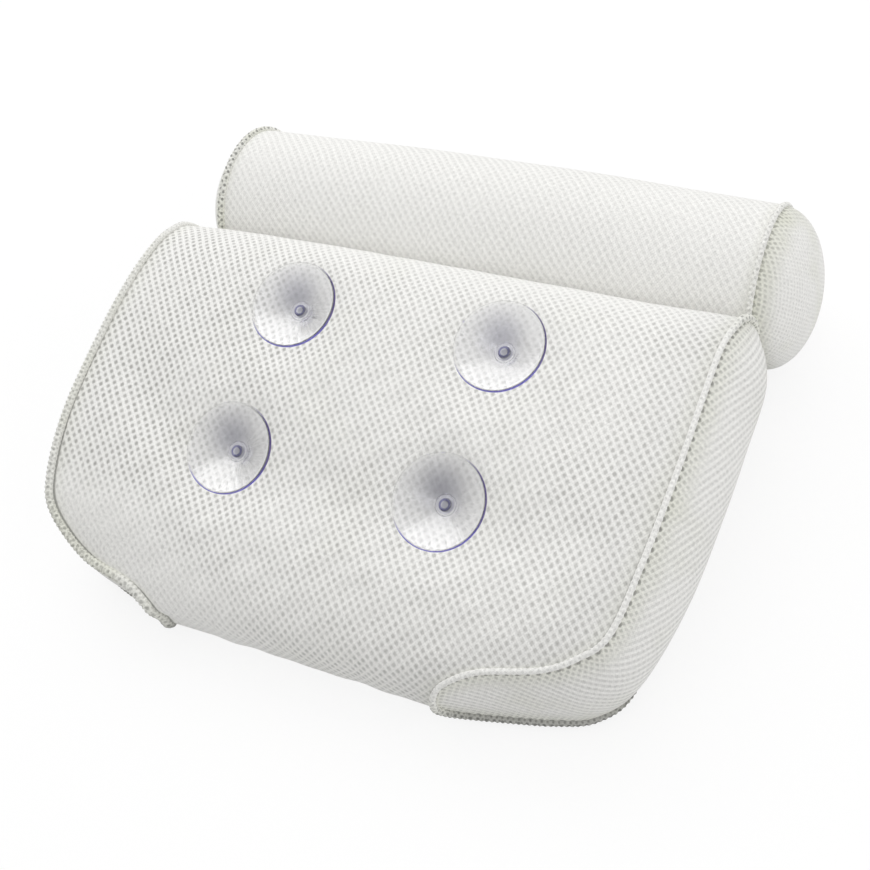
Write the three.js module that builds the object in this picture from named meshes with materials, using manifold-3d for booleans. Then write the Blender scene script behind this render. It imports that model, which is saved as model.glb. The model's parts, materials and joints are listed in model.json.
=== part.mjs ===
// Bath pillow: a mesh-covered pad, a neck roll that folds on it, and four clear suction cups.
// Millimetres, +Z up. The pillow lies face down with its cups up. The origin is the middle of
// the box that holds it, at the surface it lies on. X is its width, +Y runs towards the roll.
import * as THREE from 'three';
import { mergeVertices } from 'three/addons/utils/BufferGeometryUtils.js';
import Module from 'manifold-3d';

const wasm = await Module();
wasm.setup();

// Pad, measured along its own length, from its front face up to its cup panel
const padLength = 237;
const padDepth = 80;
const seamHalfWidth = 173;
const sideBulge = 20;
const padTilt = 10.7;
const noseRadius = 27;
const noseBack = 26.8;
const noseHeight = 39.5;

// Mesh fabric and the seams that join its panels
const meshWall = 3;
const seamRadius = 2.2;
const seamProud = 0.6;
const fabricGap = 0.3;
const fillingGap = 0.4;
const fillingEase = 1;
const flatDepth = 0.5;

// Neck roll
const rollRadius = 48;
const rollEndRadius = 45.2;
const rollSeamHalf = 167;
const rollEndBulge = 27;
const rollEndSag = 6;
const rollGap = 2.4;

// Strip of fabric that the roll folds on
const webLength = 250;
const webReach = 10;
const webThickness = 1.2;
const webEndGap = 0.9;

// Suction cups and how they are held in the cup panel
const cupPitchX = 123.6;
const cupPitchY = 87.3;
const cupMiddle = 134.5;
const cupSeatHeight = 70;
const cupDroopUpper = 8;
const cupDroopLower = 13;
const seatSquare = 28;
const seatFlatRadius = 21;
const seatFadeRadius = 43;
const rimRadius = 25;
const rimWidth = 1.4;
const cupHeight = 14.5;
const bowlDepth = 10;
const cupWall = 1.5;
const shoulderRadius = 6.5;
const shoulderHeight = 2;
const shoulderGap = 0.6;
const neckRadius = 3;
const headRadius = 5.5;
const headHeight = 2.4;
const neckHoleGap = 0.6;
const washerRadius = 9;
const washerHeight = 1.8;
const washerHoleGap = 0.35;
const washerGap = 0.75;
const headGap = 0.3;
const patchRadius = 11.5;
const patchHeight = 1.2;
const pocketGap = 2;

// How finely the round stretches are cut
const rollFacets = 32;
const cupFacets = 24;
const smallFacets = 20;
const seamFacets = 6;
const overrun = 20;
const weldDistance = 0.001;

// The seam round a side panel: from the tip of its tail, up the cup side to the top end, and
// back down the front face. Shares of the seam's half width, the pad's length and its depth.
const seamShares = [
  [0.454, 0, 0.431], [0.474, 0.008, 0.581], [0.52, 0.03, 0.694], [0.607, 0.061, 0.769],
  [0.78, 0.089, 0.812], [0.884, 0.137, 0.881], [0.942, 0.205, 0.956], [0.971, 0.357, 1.044],
  [0.983, 0.568, 1.05], [0.983, 0.719, 1.031], [0.98, 0.846, 0.969], [0.987, 0.922, 0.869],
  [0.996, 0.968, 0.744], [1, 0.994, 0.494], [0.996, 0.968, 0.262], [0.988, 0.918, 0.188],
  [0.983, 0.846, 0.131], [0.971, 0.711, 0.106], [0.965, 0.559, 0.106], [0.965, 0.348, 0.119],
  [0.948, 0.171, 0.144], [0.879, 0.095, 0.156], [0.769, 0.061, 0.169], [0.607, 0.032, 0.188],
  [0.509, 0.013, 0.244], [0.465, 0.002, 0.331],
];

// The pad's outline on its middle line, at the same stations: shares of its length and depth.
const middleShares = [
  [0, 0.406], [0.006, 0.562], [0.025, 0.688], [0.057, 0.775], [0.103, 0.844], [0.154, 0.888],
  [0.213, 0.925], [0.357, 0.975], [0.568, 1], [0.719, 0.988], [0.846, 0.931], [0.918, 0.838],
  [0.968, 0.719], [1, 0.494], [0.968, 0.269], [0.914, 0.188], [0.846, 0.131], [0.711, 0.056],
  [0.559, 0.012], [0.348, 0], [0.171, 0.031], [0.091, 0.088], [0.051, 0.156], [0.025, 0.231],
  [0.011, 0.294], [0.002, 0.35],
];

// How far a side panel swells from its chord, from the tail's tip to the top end
const bulgeShares = [0, 0.07, 0.25, 0.42, 0.52, 0.62, 0.72, 0.87, 1, 1, 0.95, 0.68, 0.3, 0];
const stationCount = seamShares.length;
const topStation = stationCount / 2;
const crownPowerShare = 2.2;
const tailStationShares = [0, 0.04, 0.08, 0.16, 0.23, 0.3, 0.37, 0.45];
const topStationShares = [0.615, 0.77, 0.81, 0.85, 0.885, 0.92, 0.955, 0.98, 1];
const columnShares = [0.62, 0.81, 1];
const lensShares = [-1, -0.72, -0.36, 0, 0.36, 0.72, 1];
const crest = lensShares.indexOf(0);

const radians = THREE.MathUtils.degToRad;
const lerp = THREE.MathUtils.lerp;
const mirrored = (p) => new THREE.Vector3(-p.x, p.y, p.z);

// A smooth curve through the rows of a table of shares, closed or open, at station t
function alongTable(table, t, closed) {
  const count = table.length;
  const last = count - 1;
  const start = closed ? Math.floor(t) : Math.min(Math.floor(t), last - 1);
  const part = t - start;
  const row = (i) => (closed ? table[(i + count) % count] : table[Math.max(0, Math.min(last, i))]);
  const rows = [row(start - 1), row(start), row(start + 1), row(start + 2)];
  return row(start).map((_, axis) => {
    const [a, b, c, d] = rows.map((r) => r[axis]);
    const swing = (2 * a - 5 * b + 4 * c - d) * part + (3 * b - a - 3 * c + d) * part * part;
    return (2 * b + (c - a + swing) * part) / 2;
  });
}

const wrapStation = (t) => ((t % stationCount) + stationCount) % stationCount;

// A point of the right-hand seam, in the pad's own frame
function seamPoint(t) {
  const [x, y, z] = alongTable(seamShares, wrapStation(t), true);
  return new THREE.Vector3(x * seamHalfWidth, y * padLength, z * padDepth);
}

// A point of the pad's outline on its middle line
function middlePoint(t) {
  const [y, z] = alongTable(middleShares, wrapStation(t), true);
  return new THREE.Vector3(0, y * padLength, z * padDepth);
}

const cups = [-1, 1].flatMap((row) => [-1, 1].map((side) => ({
  x: side * cupPitchX / 2,
  y: cupMiddle + row * cupPitchY / 2,
  droop: radians(row > 0 ? cupDroopUpper : cupDroopLower),
})));

// The cup panel is drawn down to a flat seat at each suction cup
function drawnToSeats(p, t) {
  if (t > topStation) {
    return p;
  }
  for (const cup of cups) {
    const away = Math.hypot(p.x - cup.x, p.y - cup.y);
    const pull = 1 - THREE.MathUtils.smoothstep(away, seatFlatRadius, seatFadeRadius);
    const seat = cupSeatHeight + Math.tan(cup.droop) * (p.y - cup.y);
    p.z = lerp(p.z, seat, pull);
  }
  return p;
}

// The wrap panel between its middle line and an edge, s from 0 to 1, crowned by a power of s
function wrapPoint(t, s, edge) {
  const middle = middlePoint(t);
  const crown = Math.abs(s) ** crownPowerShare;
  const y = lerp(middle.y, edge.y, crown);
  const z = lerp(middle.z, edge.z, crown);
  return drawnToSeats(new THREE.Vector3(s * edge.x, y, z), wrapStation(t));
}

// The side panel between its two edges at station j, w from the front edge -1 to the cup edge 1
function sidePoint(j, w, edgeAt) {
  const stepShare = 0.5;
  const middleAt = (k) => {
    const station = Math.max(0, Math.min(topStation, k));
    return edgeAt(station).add(edgeAt(stationCount - station)).divideScalar(2);
  };
  const along = middleAt(j + stepShare).sub(middleAt(j - stepShare));
  const out = new THREE.Vector3(along.y, -along.x, 0).normalize();
  const swell = alongTable(bulgeShares.map((share) => [share]), j, false)[0] * sideBulge;
  const chord = edgeAt(stationCount - j).lerp(edgeAt(j), (w + 1) / 2);
  return chord.addScaledVector(out, swell * (1 - w * w));
}

// Which way the seam runs at t, and the part of a direction that is square to it
function squareToSeam(t, direction) {
  const stepShare = 0.05;
  const run = seamPoint(t + stepShare).sub(seamPoint(t - stepShare)).normalize();
  return direction.addScaledVector(run, -run.dot(direction)).normalize();
}

// The outward direction at the seam, away from a core that lies inside the pad
function seamOut(t) {
  const point = seamPoint(t);
  const core = new THREE.Vector3(
    Math.min(point.x, seamHalfWidth - noseRadius),
    Math.max(noseRadius, Math.min(padLength - noseRadius, point.y)),
    padDepth / 2,
  );
  return squareToSeam(t, point.sub(core));
}

// The edges of both panels stop beside the seam, and leave it a channel
const seamInset = seamRadius + fabricGap;

function wrapEdge(t) {
  const nearShare = 0.9;
  const seam = seamPoint(t);
  const inward = wrapPoint(t, nearShare, seam).sub(seam);
  return seam.addScaledVector(squareToSeam(t, inward), seamInset);
}

function sideEdge(t) {
  const nearShare = 0.7;
  const endStepShare = 0.6;
  const station = wrapStation(t);
  const upper = station <= topStation;
  const j = upper ? station : stationCount - station;
  const within = Math.max(endStepShare, Math.min(topStation - endStepShare, j));
  const side = within === j ? nearShare * (upper ? 1 : -1) : 0;
  const seam = seamPoint(t);
  const inward = sidePoint(within, side, seamPoint).sub(seam);
  return seam.addScaledVector(squareToSeam(t, inward), seamInset);
}

// The station whose middle line lies at a given length along the cup panel
function stationAtLength(y) {
  const nearShare = 1e-6;
  let low = 1;
  let high = topStation;
  while (high - low > nearShare) {
    const mid = (low + high) / 2;
    if (middlePoint(mid).y < y) {
      low = mid;
    } else {
      high = mid;
    }
  }
  return low;
}

const seatStations = [-1, 1].flatMap((row) => [-1, 1].map((edge) => (
  stationAtLength(cupMiddle + (row * cupPitchY + edge * seatSquare) / 2)
)));
const upperStations = [
  ...tailStationShares.map((share) => share * topStation),
  ...seatStations,
  ...topStationShares.map((share) => share * topStation),
].sort((a, b) => a - b);
const lowerStations = upperStations.slice(1, -1).map((t) => stationCount - t).reverse();
const stations = [...upperStations, ...lowerStations];

const seatColumns = [-1, 1].map((edge) => (cupPitchX + edge * seatSquare) / 2 / seamHalfWidth);
const halfColumns = [...columnShares, ...seatColumns].sort((a, b) => a - b);
const columns = [...halfColumns.map((s) => -s).reverse(), 0, ...halfColumns];

// Where the pad lies: tilted so that its lower end and the roll both touch the surface
const tilt = new THREE.Matrix4().makeRotationX(radians(padTilt));
const tilted = (p) => p.clone().applyMatrix4(tilt);
const outline = stations.map((t) => tilted(middlePoint(t)));
const lift = -flatDepth - Math.min(...outline.map((p) => p.z));
const nose = tilted(new THREE.Vector3(0, padLength - noseBack, noseHeight));
const noseLift = nose.z + lift;
const rollHeight = rollRadius - flatDepth;
const rollReach = noseRadius + rollGap + rollRadius;
const rollAway = Math.sqrt(rollReach ** 2 - (noseLift - rollHeight) ** 2);
const bead = stations.map((t) => tilted(seamPoint(t).addScaledVector(seamOut(t), seamProud)));
const lowerEnd = Math.min(...bead.map((p) => p.y)) - seamRadius;
const shift = -(lowerEnd + nose.y + rollAway + rollRadius) / 2;
const place = new THREE.Matrix4().makeTranslation(0, shift, lift).multiply(tilt);
const placed = (p) => p.clone().applyMatrix4(place);
const noseCentre = new THREE.Vector3(0, nose.y + shift, noseLift);
const rollCentre = new THREE.Vector3(0, nose.y + shift + rollAway, rollHeight);

// The line that the roll folds on: on the roll's surface, webReach below the pad's top end
function foldLine() {
  const near = noseRadius + webReach;
  const far = rollRadius + fabricGap;
  const between = rollCentre.clone().sub(noseCentre);
  const reach = between.length();
  const cosine = (near * near + reach * reach - far * far) / (2 * near * reach);
  const angle = Math.atan2(between.z, between.y) - Math.acos(cosine);
  return noseCentre.clone().add(new THREE.Vector3(0, near * Math.cos(angle), near * Math.sin(angle)));
}

// Triangles of a grid of points, with the rows closed into a loop or not
function gridFaces(rows, loop, faces = []) {
  const spans = loop ? rows.length : rows.length - 1;
  for (let i = 0; i < spans; i += 1) {
    const here = rows[i];
    const next = rows[(i + 1) % rows.length];
    for (let k = 0; k < here.length - 1; k += 1) {
      faces.push([here[k], next[k], next[k + 1]], [here[k], next[k + 1], here[k + 1]]);
    }
  }
  return faces;
}

// One closed solid from triangles: shared corners merged, empty ones dropped, faces pointing out
function solidFrom(faces) {
  const loose = new THREE.BufferGeometry().setFromPoints(faces.flat());
  const merged = mergeVertices(loose, weldDistance);
  const at = merged.getAttribute('position');
  const corners = Array.from(merged.getIndex().array);
  const kept = [];
  let volume = 0;
  for (let i = 0; i < corners.length; i += 3) {
    const [a, b, c] = corners.slice(i, i + 3);
    if (a !== b && b !== c && c !== a) {
      kept.push([a, b, c]);
      const [p, q, r] = [a, b, c].map((v) => new THREE.Vector3().fromBufferAttribute(at, v));
      volume += p.dot(q.cross(r));
    }
  }
  const index = kept.flatMap(([a, b, c]) => (volume > 0 ? [a, b, c] : [a, c, b]));
  merged.setIndex(index);
  return merged;
}

// A shell between an outer grid and the same grid offset inwards
function shellFrom(outer, inner, loop) {
  const faces = gridFaces(outer, loop);
  gridFaces(inner, loop).forEach(([a, b, c]) => faces.push([a, c, b]));
  const last = outer[0].length - 1;
  const rim = (k) => outer.map((row, i) => [row[k], inner[i][k]]);
  gridFaces(rim(0), loop).forEach(([a, b, c]) => faces.push([a, c, b]));
  gridFaces(rim(last), loop, faces);
  return solidFrom(faces);
}

// The outward normals of a grid, from the points either side; the edges are given
function normalsOf(rows, loop, edgeNormals) {
  const count = rows.length;
  return rows.map((row, i) => row.map((_, k) => {
    if (k === 0 || k === row.length - 1 || (!loop && (i === 0 || i === count - 1))) {
      return edgeNormals(i, k);
    }
    const along = rows[(i + 1) % count][k].clone().sub(rows[(i + count - 1) % count][k]);
    const across = row[k + 1].clone().sub(row[k - 1]);
    return along.cross(across).normalize();
  }));
}

const offset = (rows, normals, depth) => rows.map((row, i) => (
  row.map((p, k) => p.clone().addScaledVector(normals[i][k], -depth))
));

// Wrap panel: the cup side, both ends and the front in one piece, from seam to seam
function wrapGrid() {
  const edges = stations.map((t) => wrapEdge(t));
  const rows = stations.map((t, i) => columns.map((s) => wrapPoint(t, s, edges[i])));
  const outs = stations.map((t) => seamOut(t));
  const normals = normalsOf(rows, true, (i, k) => (k === 0 ? mirrored(outs[i]) : outs[i]));
  const flip = normals[0][halfColumns.length].y > 0 ? -1 : 1;
  const inner = rows[0].length - 1;
  normals.forEach((row) => row.forEach((n, k) => n.multiplyScalar(k > 0 && k < inner ? flip : 1)));
  return { rows, normals };
}

// Side panel: a long boot that wraps the lower corner and ends in a tail
function sideGrid() {
  const rows = upperStations.map((j) => lensShares.map((w) => sidePoint(j, w, sideEdge)));
  const station = (i, k) => (k === 0 ? stationCount - upperStations[i] : upperStations[i]);
  const normals = normalsOf(rows, false, (i, k) => seamOut(station(i, k)));
  const middle = Math.floor(rows.length / 2);
  const flip = normals[middle][crest].x < 0 ? -1 : 1;
  normals.slice(1, -1).forEach((row) => row.slice(1, -1).forEach((n) => n.multiplyScalar(flip)));
  return { rows, normals };
}

// A round solid from a profile of [radius, height] points that closes on itself or on the axis
function turned(profile, facets) {
  const points = profile.map(([radius, height]) => new THREE.Vector2(radius, height));
  const lathe = new THREE.LatheGeometry(points, facets);
  lathe.deleteAttribute('normal');
  lathe.deleteAttribute('uv');
  lathe.rotateX(Math.PI / 2);
  const at = lathe.getAttribute('position');
  const corners = Array.from(lathe.getIndex().array);
  const faces = [];
  for (let i = 0; i < corners.length; i += 3) {
    faces.push(corners.slice(i, i + 3).map((v) => new THREE.Vector3().fromBufferAttribute(at, v)));
  }
  return solidFrom(faces);
}

// A closed tube round a loop of points, of even radius
function ringTube(points, radius) {
  const count = points.length;
  const middle = points.reduce((sum, p) => sum.add(p), new THREE.Vector3()).divideScalar(count);
  const rows = points.map((p, i) => {
    const run = points[(i + 1) % count].clone().sub(points[(i + count - 1) % count]).normalize();
    const out = p.clone().sub(middle);
    out.addScaledVector(run, -run.dot(out)).normalize();
    const over = run.clone().cross(out);
    return Array.from({ length: seamFacets + 1 }, (_, k) => {
      const angle = 2 * Math.PI * (k % seamFacets) / seamFacets;
      const point = p.clone().addScaledVector(out, radius * Math.cos(angle));
      return point.addScaledVector(over, radius * Math.sin(angle));
    });
  });
  return solidFrom(gridFaces(rows, true));
}

function toManifold(geometry) {
  const clean = geometry.clone();
  clean.deleteAttribute('normal');
  clean.deleteAttribute('uv');
  const merged = mergeVertices(clean, weldDistance);
  return new wasm.Manifold(new wasm.Mesh({
    numProp: 3,
    vertProperties: new Float32Array(merged.getAttribute('position').array),
    triVerts: new Uint32Array(merged.getIndex().array),
  }));
}

function fromManifold(solid) {
  const mesh = solid.getMesh();
  const geometry = new THREE.BufferGeometry();
  geometry.setAttribute('position', new THREE.BufferAttribute(mesh.vertProperties, mesh.numProp));
  geometry.setIndex(Array.from(mesh.triVerts));
  return geometry;
}

const without = (geometry, ...cuts) => fromManifold(
  cuts.reduce((left, cut) => left.subtract(toManifold(cut)), toManifold(geometry)),
);

// Everything below the surface that the pillow lies on
function belowSurface() {
  const size = 2 * (seamHalfWidth + sideBulge + overrun);
  return new THREE.BoxGeometry(size, size, size).translate(0, 0, -size / 2);
}

// Where a cup stands: its middle on the panel's seat, its axis square to the seat
function cupPlace(cup) {
  const stand = new THREE.Matrix4().makeTranslation(cup.x, cup.y, cupSeatHeight);
  return place.clone().multiply(stand).multiply(new THREE.Matrix4().makeRotationX(cup.droop));
}

// A plain cylinder on a cup's axis, from one height to another
function cupBore(cup, radius, from, to) {
  const bore = new THREE.CylinderGeometry(radius, radius, to - from, smallFacets);
  bore.rotateX(Math.PI / 2).translate(0, 0, (from + to) / 2);
  return bore.applyMatrix4(cupPlace(cup));
}

const placedRows = (rows) => rows.map((row) => row.map(placed));
const flipped = (rows) => rows.map((row) => row.map(mirrored));
const wrap = wrapGrid();
const side = sideGrid();

function padCover() {
  const outer = placedRows(wrap.rows);
  const inner = placedRows(offset(wrap.rows, wrap.normals, meshWall));
  const holes = cups.map((cup) => cupBore(cup, neckRadius + neckHoleGap, -overrun / 2, overrun / 2));
  return without(shellFrom(outer, inner, true), belowSurface(), ...holes);
}

function padSidePanel(hand) {
  const outer = hand < 0 ? flipped(side.rows) : side.rows;
  const depth = offset(side.rows, side.normals, meshWall);
  return shellFrom(placedRows(outer), placedRows(hand < 0 ? flipped(depth) : depth), false);
}

function padSeam(hand) {
  const line = stations.map((t) => seamPoint(t).addScaledVector(seamOut(t), seamProud));
  return ringTube(line.map((p) => placed(hand < 0 ? mirrored(p) : p)), seamRadius);
}

// Filling: one closed body inside the cover and both side panels, with a pocket at each cup
function padFilling() {
  const depth = meshWall + fillingGap;
  const ring = stations.map((t) => seamPoint(t).addScaledVector(seamOut(t), -depth - fillingEase));
  const body = offset(wrap.rows, wrap.normals, depth).map((row, i) => (
    [mirrored(ring[i]), ...row.slice(1, -1), ring[i]]
  ));
  const end = offset(side.rows, side.normals, depth).map((row, i) => {
    const low = ring[(stations.length - i) % stations.length];
    return i === 0 || i === side.rows.length - 1
      ? row.map(() => ring[i])
      : [low, ...row.slice(1, -1), ring[i]];
  });
  const faces = gridFaces(placedRows(body), true);
  gridFaces(placedRows(end), false).forEach(([a, b, c]) => faces.push([a, c, b]));
  gridFaces(placedRows(flipped(end)), false, faces);
  const deep = -(meshWall + fabricGap + patchHeight + washerGap + washerHeight + headGap + headHeight);
  const pockets = cups.map((cup) => cupBore(cup, patchRadius + pocketGap, deep - pocketGap, overrun));
  return without(solidFrom(faces), ...pockets);
}

// Strip between the pad's top end and the fold line, its root following the wrap panel
function foldWeb() {
  const line = foldLine();
  const fromNose = line.clone().sub(noseCentre).normalize();
  const half = new THREE.Vector3(0, -fromNose.z, fromNose.y).multiplyScalar(webThickness / 2);
  const end = webLength / 2 / seamHalfWidth;
  const lead = [-end, ...columns.filter((s) => Math.abs(s) < end), end];
  const rows = lead.map((s) => {
    const tip = line.clone().addScaledVector(fromNose, -webEndGap).setX(s * seamHalfWidth);
    const root = tip.clone().addScaledVector(fromNose, -(webReach - webEndGap - webRootGap(s)));
    const ring = [[tip, 1], [tip, -1], [root, -1], [root, 1], [tip, 1]];
    return ring.map(([p, way]) => p.clone().addScaledVector(half, way));
  });
  const faces = gridFaces(rows, false);
  const [first, last] = [rows[0], rows[rows.length - 1]];
  faces.push([first[0], first[1], first[2]], [first[0], first[2], first[3]]);
  faces.push([last[0], last[2], last[1]], [last[0], last[3], last[2]]);
  return solidFrom(faces);
}

// How far the web's root stays from the nose circle so that it clears the wrap panel at s
function webRootGap(s) {
  const edgeAt = (t) => wrapPoint(t, s, wrapEdge(t));
  const line = foldLine();
  const fromNose = line.clone().sub(noseCentre).normalize();
  const reach = stations.filter((t) => t > topStation - 1).map((t) => {
    const away = placed(edgeAt(t)).sub(noseCentre).setX(0);
    return { along: away.dot(fromNose), off: away.cross(fromNose).length() };
  });
  const near = reach.sort((a, b) => a.off - b.off).slice(0, 2);
  return Math.max(...near.map((n) => n.along)) - noseRadius + fabricGap;
}

// The roll's radius along its length: fullest in the middle
function rollRadiusAt(x) {
  const share = Math.min(1, Math.abs(x) / rollSeamHalf);
  return lerp(rollRadius, rollEndRadius, share * share);
}

// A solid turned about the roll's own axis; heights run along +X
function turnedOnRoll(profile) {
  const solid = turned(profile, rollFacets);
  return solid.rotateY(Math.PI / 2).translate(0, rollCentre.y, rollCentre.z);
}

function rollCover() {
  const spanShares = [-1, -0.66, -0.33, 0, 0.33, 0.66, 1];
  const xs = spanShares.map((share) => share * (rollSeamHalf - seamInset));
  const outer = xs.map((x) => [rollRadiusAt(x), x]);
  const inner = xs.map((x) => [rollRadiusAt(x) - meshWall, x]).reverse();
  return without(turnedOnRoll([...outer, ...inner, outer[0]]), belowSurface());
}

// The end panels' edge lies beside their seam, on a slant of seven to twenty-four
const endInwardShare = 0.28;
const endRiseShare = 0.96;
const domePowerShare = 0.48;
const endEdge = rollEndRadius - seamInset * endInwardShare;
const endRise = seamInset * endRiseShare;

// How far an end panel stands past the seam at a given radius
function endSwell(radius) {
  const share = Math.max(0, 1 - (radius / endEdge) ** 2);
  return endRise + (rollEndBulge - endRise) * share ** domePowerShare;
}

// A profile that starts on the axis, moved inwards by a depth square to its own run
function inwards(profile, depth) {
  const last = profile.length - 1;
  return profile.map(([radius, x], i) => {
    if (i === 0) {
      return [radius, x - depth];
    }
    const [before, after] = [profile[i - 1], profile[Math.min(last, i + 1)]];
    const run = new THREE.Vector2(after[0] - before[0], after[1] - before[1]).normalize();
    return [radius + run.y * depth, x - run.x * depth];
  });
}

// The end panel's outer and inner profiles, from the axis to its edge
const endShares = [0, 0.3, 0.57, 0.79, 0.93, 0.985, 1];
const endOuter = endShares.map((share) => (
  [share * endEdge, rollSeamHalf + endSwell(share * endEdge)]
));
const endInner = inwards(endOuter, meshWall);
const towards = (hand, profile) => profile.map(([radius, x]) => [radius, hand * x]);

// The ends sag as they swell: a point past the seam lies lower by its share of the bulge
function sagged(geometry) {
  const at = geometry.getAttribute('position');
  for (let i = 0; i < at.count; i += 1) {
    const share = Math.max(0, Math.abs(at.getX(i)) - rollSeamHalf) / rollEndBulge;
    at.setZ(i, at.getZ(i) - rollEndSag * share);
  }
  return geometry;
}

function rollEnd(hand) {
  return sagged(turnedOnRoll(towards(hand, [...endOuter, ...[...endInner].reverse()])));
}

function rollSeam(hand) {
  const ring = Array.from({ length: rollFacets }, (_, k) => {
    const angle = 2 * Math.PI * k / rollFacets;
    const y = rollCentre.y + rollEndRadius * Math.cos(angle);
    return new THREE.Vector3(hand * rollSeamHalf, y, rollCentre.z + rollEndRadius * Math.sin(angle));
  });
  return ringTube(ring, seamRadius);
}

function rollFilling() {
  const depth = meshWall + fillingGap;
  const spanShares = [-1, -0.5, 0, 0.5, 1];
  const body = spanShares.map((share) => {
    const x = share * (rollSeamHalf - depth);
    return [rollRadiusAt(x) - depth, x];
  });
  const domed = inwards(endInner, fillingGap);
  return sagged(turnedOnRoll([...towards(-1, domed), ...body, ...[...domed].reverse()]));
}

// Suction cup: shoulder, neck and head below, thin bowl above with a flat rim
function suctionCup() {
  const floor = cupHeight - bowlDepth;
  const headTop = -(meshWall + fabricGap + patchHeight + washerGap + washerHeight + headGap);
  const top = shoulderGap + shoulderHeight;
  const rise = cupHeight - cupWall - top;
  const spread = rimRadius - shoulderRadius;
  const outerShares = [[0.12, 0.16], [0.4, 0.46], [0.74, 0.8]];
  const innerShares = [[0.76, 0.76], [0.45, 0.4], [0.18, 0.1]];
  const inside = rimRadius - rimWidth;
  const headTipShare = 0.7;
  const headEdgeShare = 0.4;
  return turned([
    [0, headTop - headHeight],
    [headRadius * headTipShare, headTop - headHeight],
    [headRadius, headTop - headHeight * headEdgeShare],
    [headRadius, headTop],
    [neckRadius, headTop],
    [neckRadius, shoulderGap],
    [shoulderRadius, shoulderGap],
    [shoulderRadius, top],
    ...outerShares.map(([r, h]) => [shoulderRadius + spread * r, top + rise * h]),
    [rimRadius, cupHeight - cupWall],
    [rimRadius, cupHeight],
    [inside, cupHeight],
    ...innerShares.map(([r, h]) => [inside * r, floor + bowlDepth * h]),
    [0, floor],
  ], cupFacets);
}

function retainingWasher() {
  const top = -(meshWall + fabricGap + patchHeight + washerGap);
  const hole = neckRadius + washerHoleGap;
  return turned([
    [hole, top], [washerRadius, top], [washerRadius, top - washerHeight],
    [hole, top - washerHeight], [hole, top],
  ], smallFacets);
}

function cupPatch() {
  const top = -(meshWall + fabricGap);
  const hole = neckRadius + neckHoleGap;
  return turned([
    [hole, top], [patchRadius, top], [patchRadius, top - patchHeight],
    [hole, top - patchHeight], [hole, top],
  ], smallFacets);
}

const material = (color, roughness, opacity = 1) => new THREE.MeshStandardMaterial({
  color, roughness, metalness: 0, opacity, transparent: opacity < 1,
});
const meshFabric = material(0xf4f4f1, 0.85);
const seamFabric = material(0xecece8, 0.8);
const fillFibre = material(0xfafafa, 0.95);
const clearVinyl = material(0xdcdcf2, 0.08, 0.4);
const whitePlastic = material(0xeeeeee, 0.4);

const group = new THREE.Group();

function addPiece(name, geometry, finish, matrix) {
  const mesh = new THREE.Mesh(geometry, finish);
  mesh.name = name;
  if (matrix) {
    mesh.applyMatrix4(matrix);
  }
  group.add(mesh);
}

addPiece('pad_cover', padCover(), meshFabric);
addPiece('pad_filling', padFilling(), fillFibre);
addPiece('fold_web', foldWeb(), seamFabric);
addPiece('roll_cover', rollCover(), meshFabric);
addPiece('roll_filling', rollFilling(), fillFibre);
for (const [name, hand] of [['left', -1], ['right', 1]]) {
  addPiece(`pad_side_panel_${name}`, padSidePanel(hand), meshFabric);
  addPiece(`pad_seam_${name}`, padSeam(hand), seamFabric);
  addPiece(`roll_end_${name}`, rollEnd(hand), meshFabric);
  addPiece(`roll_seam_${name}`, rollSeam(hand), seamFabric);
}
cups.forEach((cup, i) => {
  const stand = cupPlace(cup);
  addPiece(`suction_cup_${i + 1}`, suctionCup(), clearVinyl, stand);
  addPiece(`retaining_washer_${i + 1}`, retainingWasher(), whitePlastic, stand);
  addPiece(`cup_patch_${i + 1}`, cupPatch(), seamFabric, stand);
});

export default group;
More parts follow.
